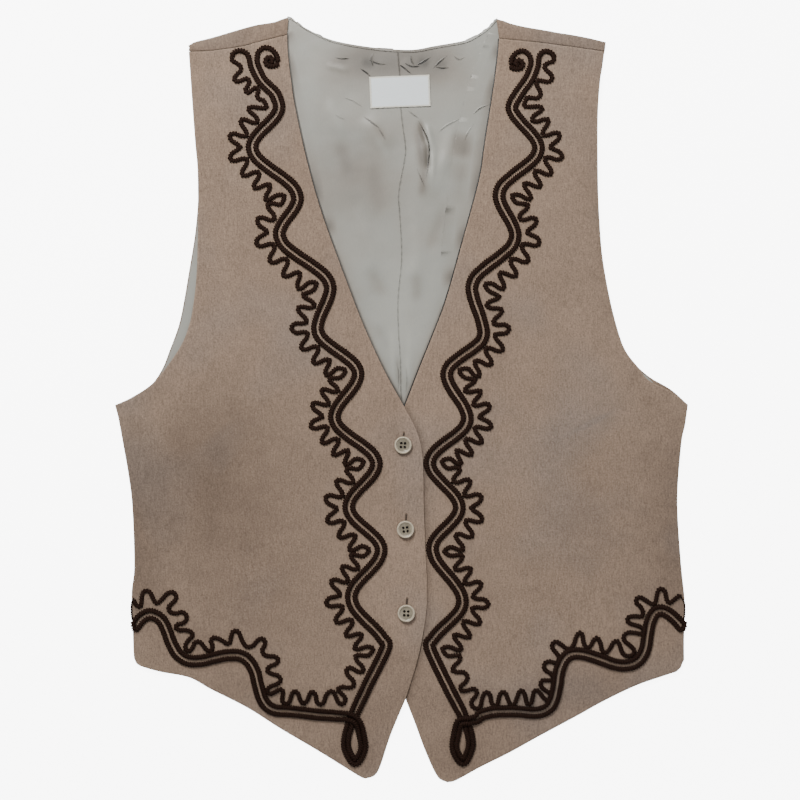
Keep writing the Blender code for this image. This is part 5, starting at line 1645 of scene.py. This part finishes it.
class MakeFronts(bpy.types.Operator):
    """Makes the two fronts of crepe, the right one over the left"""
    bl_idname = "vest.make_fronts"
    bl_label = "Make fronts"

    def execute(self, context):
        settings = context.scene.vest_cloth
        rows = (
            ("left", LEFT_FRONT, False, (0.238, 0.582), 0.0897, ["satin_lining"]),
            ("right", RIGHT_FRONT, True, (0.244, 0.582), 0.0869, ["satin_lining", "cloth_front_left"]),
        )
        for side, front, on_top, size, area, rests_on in rows:
            points = self.front_points(front)
            sheet = cloth_sheet(points, lambda flat: front_top(flat, front, on_top, settings))
            add_values(sheet, "greyer", fold_height(points.reshape(-1, 2), FRONT_GREYS))
            face_up(sheet)
            surfaces[side] = Surface(sheet)
            piece = new_piece(f"cloth_front_{side}", sheet, bpy.data.materials["crepe"])
            add_wall(piece, FRONT_WALL, FRONT_ROUNDING)
            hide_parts(f"front_{side}")
        return {"FINISHED"}

    def front_points(self, front):
        over = crowded_shares(FRONT_COLUMNS)
        upper = crowded_shares(FRONT_UPPER_ROWS)
        lower = crowded_shares(FRONT_LOWER_ROWS)
        seam = smooth_curve(front["seam"])
        up = [across(seam, index) for index in range(len(seam))]
        seam = [point - 0.5 * GAP * (way if way.y > 0 else -way) for point, way in zip(seam, up)]
        outer = smooth_curve((seam[0], *front["armhole"][1:]))
        inner = smooth_curve((seam[-1], *front["neck"][1:]))
        opening = smooth_curve(front["front"]) + smooth_curve(front["tail"])[1:]
        outer = at_shares(outer, upper) + at_shares(smooth_curve(front["side"]), lower)[1:]
        inner = at_shares(inner, upper) + at_shares(opening, lower)[1:]
        return patch(at_shares(seam, over), at_shares(smooth_curve(front["hem"]), over), outer, inner)


class MakeLabel(bpy.types.Operator):
    """Makes the bare woven label at the back of the neck, with its stitches"""
    bl_idname = "vest.make_label"
    bl_label = "Make label"

    def execute(self, context):
        middle = Vector(LABEL_MIDDLE)
        along = Vector((math.cos(LABEL_TURN), math.sin(LABEL_TURN)))
        up = Vector((-along.y, along.x))
        places = np.zeros((LABEL_ROWS + 1, LABEL_COLUMNS + 1, 3))
        for row in range(LABEL_ROWS + 1):
            for column in range(LABEL_COLUMNS + 1):
                over = (column / LABEL_COLUMNS - 0.5) * LABEL_LENGTH
                down = (0.5 - row / LABEL_ROWS) * LABEL_WIDTH
                point = middle + over * along + down * up
                places[row, column] = (*point, self.rest(point))
        sheet = grid_sheet(places)
        add_values(sheet, "border", [
            1.0 if min(row, LABEL_ROWS - row, column, LABEL_COLUMNS - column) < LABEL_BORDER_CELLS else 0.0
            for row in range(LABEL_ROWS + 1) for column in range(LABEL_COLUMNS + 1)
        ])
        face_up(sheet)
        surfaces["label"] = Surface(sheet)
        piece = new_piece("woven_label", sheet, bpy.data.materials["woven_tape"])
        add_wall(piece, LABEL_WALL, LABEL_ROUNDING)
        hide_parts("label")
        stitches = self.make_stitches(middle, along, up)
        return {"FINISHED"}

    def rest(self, point):
        """The label's face: it bridges the creases below it."""
        heights = [surfaces["lining"].top(point.x + dx, point.y + dy)
                   for dx in LABEL_REST_ACROSS for dy in LABEL_REST_UP]
        return sum(heights) / len(heights) + LABEL_REST_HEIGHT

    def make_stitches(self, middle, along, up):
        """Short stitches through the label's two narrow ends."""
        joined = bmesh.new()
        for end in (-1, 1):
            for index in range(LABEL_STITCHES):
                over = end * (LABEL_LENGTH / 2 - LABEL_STITCH_INSET)
                rise = ((index + 0.5) / LABEL_STITCHES - 0.5) * (LABEL_WIDTH - LABEL_STITCH_MARGIN)
                spot = middle + over * along + rise * up
                stitch = bmesh.ops.create_icosphere(joined, subdivisions=2, radius=MM)["verts"]
                bmesh.ops.scale(joined, verts=stitch, vec=LABEL_STITCH)
                place = Vector((*spot, surfaces["label"].top(*spot) + LABEL_STITCH_RISE)) * MM
                bmesh.ops.translate(joined, verts=stitch, vec=place)
        return new_piece("label_stitches", joined, bpy.data.materials["label_thread"])


class MakeBraid(bpy.types.Operator):
    """Makes the plaited cords of both fronts"""
    bl_idname = "vest.make_braid"
    bl_label = "Make braid"

    def execute(self, context):
        for side in ("right", "left"):
            self.make_side(side, context.scene.vest_braid)
        return {"FINISHED"}

    def make_side(self, side, settings):
        surface = surfaces[side]

        def put(points):
            return [mirrored(point) if side == "left" else Vector(point) for point in points]

        down = (*PAIR_TOP[side], *swinging(pair_turns(side)), PAIR_BOTTOM[side], PAIR_CROSSING[side])
        pair = smooth_curve((*down, *DROP_ROUTE[side], *HEM_PAIR_ROUTE[side]), ROUTE_STEPS)
        edge_cord = smooth_curve(ARCH_ROUTE[side], ROUTE_STEPS) + self.beside_pair(pair, 1)[1:]
        inner_cord = smooth_curve(HOOK_ROUTE[side], ROUTE_STEPS) + self.beside_pair(pair, -1)[1:]
        crossing = put([PAIR_CROSSING[side]])[0]
        lowest = put([DROP_ROUTE[side][2]])[0]
        pair_width = settings.pair_width / MM
        for name, route, replaced in (
            ("edge_cord", edge_cord, ("edge_cord", "hem_edge_cord")),
            ("inner_cord", inner_cord, ("inner_cord", "hem_inner_cord")),
        ):
            laid = smooth_curve(put(by_step(route, LAID_STEP)), LAID_STEPS)
            laid = wobbled(laid, *PAIR_WOBBLE, len(name))
            bottom = min(range(len(laid)), key=lambda index: (laid[index] - lowest).length)
            first_pass = curve_length(laid[:bottom + 1])

            def lift(point, walked):
                """The cord's second pass through the crossing lies on its first."""
                away = (point - crossing).length / CROSSING_REACH
                return CROSSING_LIFT * math.exp(-away ** 4) if walked > first_pass else 0.0

            nodes = [f"braid_{side}_{node}" for node in replaced]
            self.make_cord(f"braid_{side}_{name}", laid, pair_width, PAIR_HEIGHT, settings, surface,
                           lift, nodes)
        wavy = kept_apart(wavy_curve(side), [by_step(inner_cord, PAIR_COARSE_STEP)])
        from_hook = [HOOK_ROUTE[side][1], HOOK_ROUTE[side][0]]
        along_hem = [Vector(point) for point in WAVY_HEM[side]]
        wavy = put([*from_hook, *wavy[:-WAVY_HEM_JOIN]]) + along_hem
        wavy = wobbled(smooth_curve(wavy, WAVY_STEPS), *WAVY_WOBBLE)
        name = f"braid_{side}_wavy_cord"
        self.make_cord(name, wavy, settings.wavy_width / MM, WAVY_HEIGHT, settings, surface, None, [name])
        thin = smooth_curve(SIDE_CORD[side], WAVY_STEPS)
        self.make_cord(f"braid_{side}_side_cord", thin, *SIDE_CORD_SIZE, settings, surface, None, [])
        middle = Vector(KNOT_MIDDLE[side])
        knot = put(self.knot_route(middle))
        middle = put([middle])[0]

        def dome(point, walked):
            return KNOT_DOME * max(0.0, 1 - (point - middle).length / KNOT_RADIUS)

        name = f"braid_{side}_knot"
        self.make_cord(name, knot, pair_width * KNOT_CORD, PAIR_HEIGHT, settings, surface, dome, [name])

    def beside_pair(self, pair, way):
        """One cord's route: beside the pair's middle line, and closer to it round the drop."""
        route = []
        for index, point in enumerate(pair):
            round_drop = math.exp(-((point - Vector(DROP_MIDDLE)).length / DROP_REACH) ** 6)
            spacing = PAIR_SPACING + (DROP_SPACING - PAIR_SPACING) * round_drop
            route.append(point + way * spacing / 2 * across(pair, index))
        return [*route, Vector(PAIR_END)]

    def knot_route(self, middle):
        """The way round from the middle of the knot out to the end of the arch."""
        route = []
        for step in range(KNOT_STEPS + 1):
            share = step / KNOT_STEPS
            angle = KNOT_END_ANGLE - 2 * math.pi * KNOT_TURNS * (1 - share)
            tail = max(0.0, share - KNOT_TAIL_FROM) / (1 - KNOT_TAIL_FROM)
            radius = KNOT_START_RADIUS + (KNOT_RADIUS - KNOT_START_RADIUS) * share + KNOT_TAIL * tail * tail
            route.append(middle + radius * Vector((math.cos(angle), math.sin(angle))))
        return route

    def make_cord(self, name, route, width, height, settings, surface, lift, replaced):
        pitch = settings.pitch / MM
        mesh = cord_mesh(route, width, height, pitch, settings.plait, settings.sides, surface, lift)
        close_cord(mesh, settings.sides)
        piece = new_piece(f"{name}_plait", mesh, bpy.data.materials["plaited_cord"])
        if replaced:
            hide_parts(*replaced)


class MakeButtons(bpy.types.Operator):
    """Makes the buttons, their thread and the buttonholes"""
    bl_idname = "vest.make_buttons"
    bl_label = "Make buttons"

    def execute(self, context):
        settings = context.scene.vest_buttons
        for name, spot in BUTTON_PLACES.items():
            low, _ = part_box(f"button_{name}")
            self.make_button(name, Vector((*spot, low.z / MM)), settings)
            self.make_buttonhole(name, Vector(spot), settings)
        return {"FINISHED"}

    def make_button(self, name, place, settings):
        turn = math.radians(BUTTON_TURNS[name])
        disc = bmesh.new()
        outline = [disc.verts.new((radius * MM, 0, height * MM)) for radius, height in BUTTON_PROFILE]
        lines = [disc.edges.new(pair) for pair in zip(outline, outline[1:])]
        bmesh.ops.spin(disc, geom=outline + lines, axis=(0, 0, 1), cent=(0, 0, 0), steps=BUTTON_SIDES,
                       angle=2 * math.pi, use_merge=True)
        bmesh.ops.remove_doubles(disc, verts=disc.verts[:], dist=WELD * MM)
        bmesh.ops.recalc_face_normals(disc, faces=disc.faces[:])
        holes = [Vector((x, y)) * BUTTON_HOLE_SPACING for x in (-0.5, 0.5) for y in (-0.5, 0.5)]
        drills = bmesh.new()
        for hole in holes:
            drill = bmesh.ops.create_cone(drills, cap_ends=True, segments=BUTTON_HOLE_SIDES,
                                          radius1=settings.hole / 2, radius2=settings.hole / 2,
                                          depth=BUTTON_HOLE_DEPTH * MM)["verts"]
            bmesh.ops.translate(drills, verts=drill, vec=Vector((*hole, 0)) * MM)
        body = new_piece("button_body", disc, bpy.data.materials["polished_button"])
        cutter = new_piece("button_drills", drills, bpy.data.materials["polished_button"])
        cut = body.modifiers.new("Holes", "BOOLEAN")
        cut.operation = "DIFFERENCE"
        cut.object = cutter
        graph = bpy.context.evaluated_depsgraph_get()
        mesh = bmesh.new()
        mesh.from_mesh(body.evaluated_get(graph).to_mesh())
        for spare in (body, cutter):
            bpy.data.objects.remove(spare, do_unlink=True)
        # The attribute "rim" marks where a painted highlight pales the raised rim
        rim = mesh.verts.layers.float.new("rim")
        start, width = BUTTON_RIM_HIGHLIGHT
        for vert in mesh.verts:
            vert[rim] = float(soft((vert.co.xy.length / MM - start) / width))
        self.put_down(mesh, place, turn)
        piece = new_piece(f"button_{name}_turned", mesh, bpy.data.materials["polished_button"])
        piece.data.set_sharp_from_angle(angle=BUTTON_SHARP_FROM)
        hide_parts(f"button_{name}")
        # Thread posts in the holes, in the near-black slit colour: painted shade that keeps the holes dark
        thread = bmesh.new()
        for hole in holes:
            post = bmesh.ops.create_cone(thread, cap_ends=True, segments=THREAD_SIDES,
                                         radius1=THREAD_RADIUS * MM, radius2=THREAD_RADIUS * MM,
                                         depth=THREAD_TOP * MM)["verts"]
            bmesh.ops.translate(thread, verts=post, vec=Vector((*hole, THREAD_TOP / 2)) * MM)
        self.put_down(thread, place, turn)
        new_piece(f"button_{name}_thread", thread, bpy.data.materials["button_thread"])

    def put_down(self, mesh, place, turn):
        bmesh.ops.rotate(mesh, verts=mesh.verts[:], cent=(0, 0, 0), matrix=Matrix.Rotation(turn, 3, "Z"))
        bmesh.ops.translate(mesh, verts=mesh.verts[:], vec=place * MM)

    def make_buttonhole(self, name, spot, settings):
        """Close stitches round a slit, its shade painted by a near-black sheet, that runs up from under the
        button.
        """
        surface = surfaces["right"]
        low = spot + Vector((0, -BUTTONHOLE_BELOW))
        high = spot + Vector((BUTTONHOLE_LEAN, BUTTONHOLE_LENGTH[name] - BUTTONHOLE_BELOW))
        up = (high - low).normalized()
        side = Vector((up.y, -up.x)) * BUTTONHOLE_HALF
        end = up * BUTTONHOLE_END
        route = [low - side, low.lerp(high, 0.5) - side, high - side, high + end, high + side,
                 low.lerp(high, 0.5) + side, low + side, low - end, low - side * BUTTONHOLE_JOIN]
        border = cord_mesh(smooth_curve(route, BUTTONHOLE_STEPS), *BUTTONHOLE_CORD, BUTTONHOLE_PITCH,
                           BUTTONHOLE_PLAIT, BUTTONHOLE_SIDES, surface)
        close_cord(border, BUTTONHOLE_SIDES)
        new_piece(f"buttonhole_{name}", border, bpy.data.materials["buttonhole_thread"])
        # A near-black sheet on the cloth paints the shade inside the slit
        places = np.zeros((SLIT_ROWS + 1, 3, 3))
        for row in range(SLIT_ROWS + 1):
            for column in range(3):
                point = low.lerp(high, row / SLIT_ROWS) + side * SLIT_SHARE * (column - 1)
                places[row, column] = (*point, surface.top(*point) + SLIT_RISE)
        slit = grid_sheet(places)
        face_up(slit)
        new_piece(f"buttonhole_{name}_slit", slit, bpy.data.materials["slit"])


class SetStage(bpy.types.Operator):
    """Sets the floor, the lights and the camera"""
    bl_idname = "vest.set_stage"
    bl_label = "Set stage"

    def execute(self, context):
        settings = context.scene.vest_stage
        floor = bmesh.new()
        bmesh.ops.create_grid(floor, x_segments=1, y_segments=1, size=FLOOR_SIZE * MM)
        bmesh.ops.translate(floor, verts=floor.verts[:], vec=(0, 0, FLOOR_LEVEL * MM))
        mesh = bpy.data.meshes.new("floor")
        floor.to_mesh(mesh)
        floor.free()
        shining = opaque([part * settings.glow for part in settings.floor])
        material, shader = new_material("floor", Base_Color=opaque(settings.floor), Roughness=0.9,
                                        Emission_Color=shining)
        seen = material.node_tree.nodes.new("ShaderNodeLightPath").outputs["Is Camera Ray"]
        material.node_tree.links.new(seen, shader.inputs["Emission Strength"])
        mesh.materials.append(material)
        plane = bpy.data.objects.new("floor", mesh)
        context.scene.collection.objects.link(plane)
        world = bpy.data.worlds.new("sky")
        world.use_nodes = True
        sky = world.node_tree.nodes["Background"]
        sky.inputs["Color"].default_value = (1.0, 1.0, 1.0, 1)
        sky.inputs["Strength"].default_value = settings.sky
        context.scene.world = world
        self.add_light("key", settings.key, *KEY_LIGHT)
        self.add_light("fill", settings.fill, *FILL_LIGHT)
        camera = bpy.data.objects.new("camera", bpy.data.cameras.new("camera"))
        camera.data.lens = CAMERA_LENS
        camera.data.sensor_width = CAMERA_SENSOR
        distance = CAMERA_LENS * PICTURE_WIDTH / CAMERA_SENSOR
        camera.location = Vector((*PICTURE_MIDDLE, PICTURE_LEVEL + distance)) * MM
        camera.data.clip_start = NEAREST_SEEN * MM
        context.scene.collection.objects.link(camera)
        context.scene.camera = camera
        return {"FINISHED"}

    def add_light(self, name, power, size, place, colour):
        light = bpy.data.lights.new(name, "AREA")
        light.energy = power
        light.size = size * MM
        light.color = colour
        lamp = bpy.data.objects.new(name, light)
        lamp.location = Vector(place) * MM
        lamp.rotation_euler = Vector(place).to_track_quat("Z", "Y").to_euler()
        bpy.context.scene.collection.objects.link(lamp)


class MakeMaterials(bpy.types.Operator):
    """Makes the finishes that the pieces wear"""
    bl_idname = "vest.make_materials"
    bl_label = "Make materials"

    def execute(self, context):
        scene = context.scene
        yarns = yarn_group()
        cloth_material(scene.vest_cloth, crepe_group())
        lining_material("satin", scene.vest_lining, yarns, False)
        # The lining's strips, with painted shade along their grooves
        lining_material("lining_painted_shadow_lines", scene.vest_lining, yarns, True)
        braid_material(scene.vest_braid)
        button_material(scene.vest_buttons)
        # The buttons' thread takes the near-black slit colour, as painted shade in the holes
        thread_material("button_thread", scene.vest_buttons.slit, yarns)
        thread_material("buttonhole_thread", scene.vest_buttons.thread, yarns)
        # The slit's near-black sheet is painted shade
        thread_material("slit", scene.vest_buttons.slit, yarns)
        thread_material("label_thread", scene.vest_label.border, yarns)
        label_material(scene.vest_label, yarns)
        return {"FINISHED"}


class WaistcoatPanel(bpy.types.Panel):
    """Lists the waistcoat's operators and settings"""
    bl_idname = "VIEW3D_PT_waistcoat"
    bl_label = "Waistcoat"
    bl_space_type = "VIEW_3D"
    bl_region_type = "UI"
    bl_category = "Waistcoat"

    def draw(self, context):
        for operator in OPERATORS:
            self.layout.operator(operator.bl_idname)
        for name, kind in SETTINGS.items():
            box = self.layout.box()
            group_of_values = getattr(context.scene, name)
            for value in kind.__annotations__:
                box.prop(group_of_values, value)


SETTINGS = {
    "vest_cloth": ClothSettings,
    "vest_lining": LiningSettings,
    "vest_braid": BraidSettings,
    "vest_buttons": ButtonSettings,
    "vest_label": LabelSettings,
    "vest_stage": StageSettings,
}
OPERATORS = (MakeMaterials, SetStage, MakeBack, MakeLining, MakeFronts, MakeLabel, MakeBraid, MakeButtons)


def register():
    for kind in (*SETTINGS.values(), *OPERATORS, WaistcoatPanel):
        bpy.utils.register_class(kind)
    for name, kind in SETTINGS.items():
        setattr(bpy.types.Scene, name, PointerProperty(type=kind))


def unregister():
    for name in SETTINGS:
        delattr(bpy.types.Scene, name)
    for kind in (WaistcoatPanel, *reversed(OPERATORS), *reversed(SETTINGS.values())):
        bpy.utils.unregister_class(kind)


def main():
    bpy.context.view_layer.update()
    register()
    bpy.ops.vest.make_materials()
    bpy.ops.vest.set_stage()
    bpy.ops.vest.make_back()
    bpy.ops.vest.make_lining()
    bpy.ops.vest.make_fronts()
    bpy.ops.vest.make_label()
    bpy.ops.vest.make_braid()
    bpy.ops.vest.make_buttons()


if __name__ == "__main__":
    main()
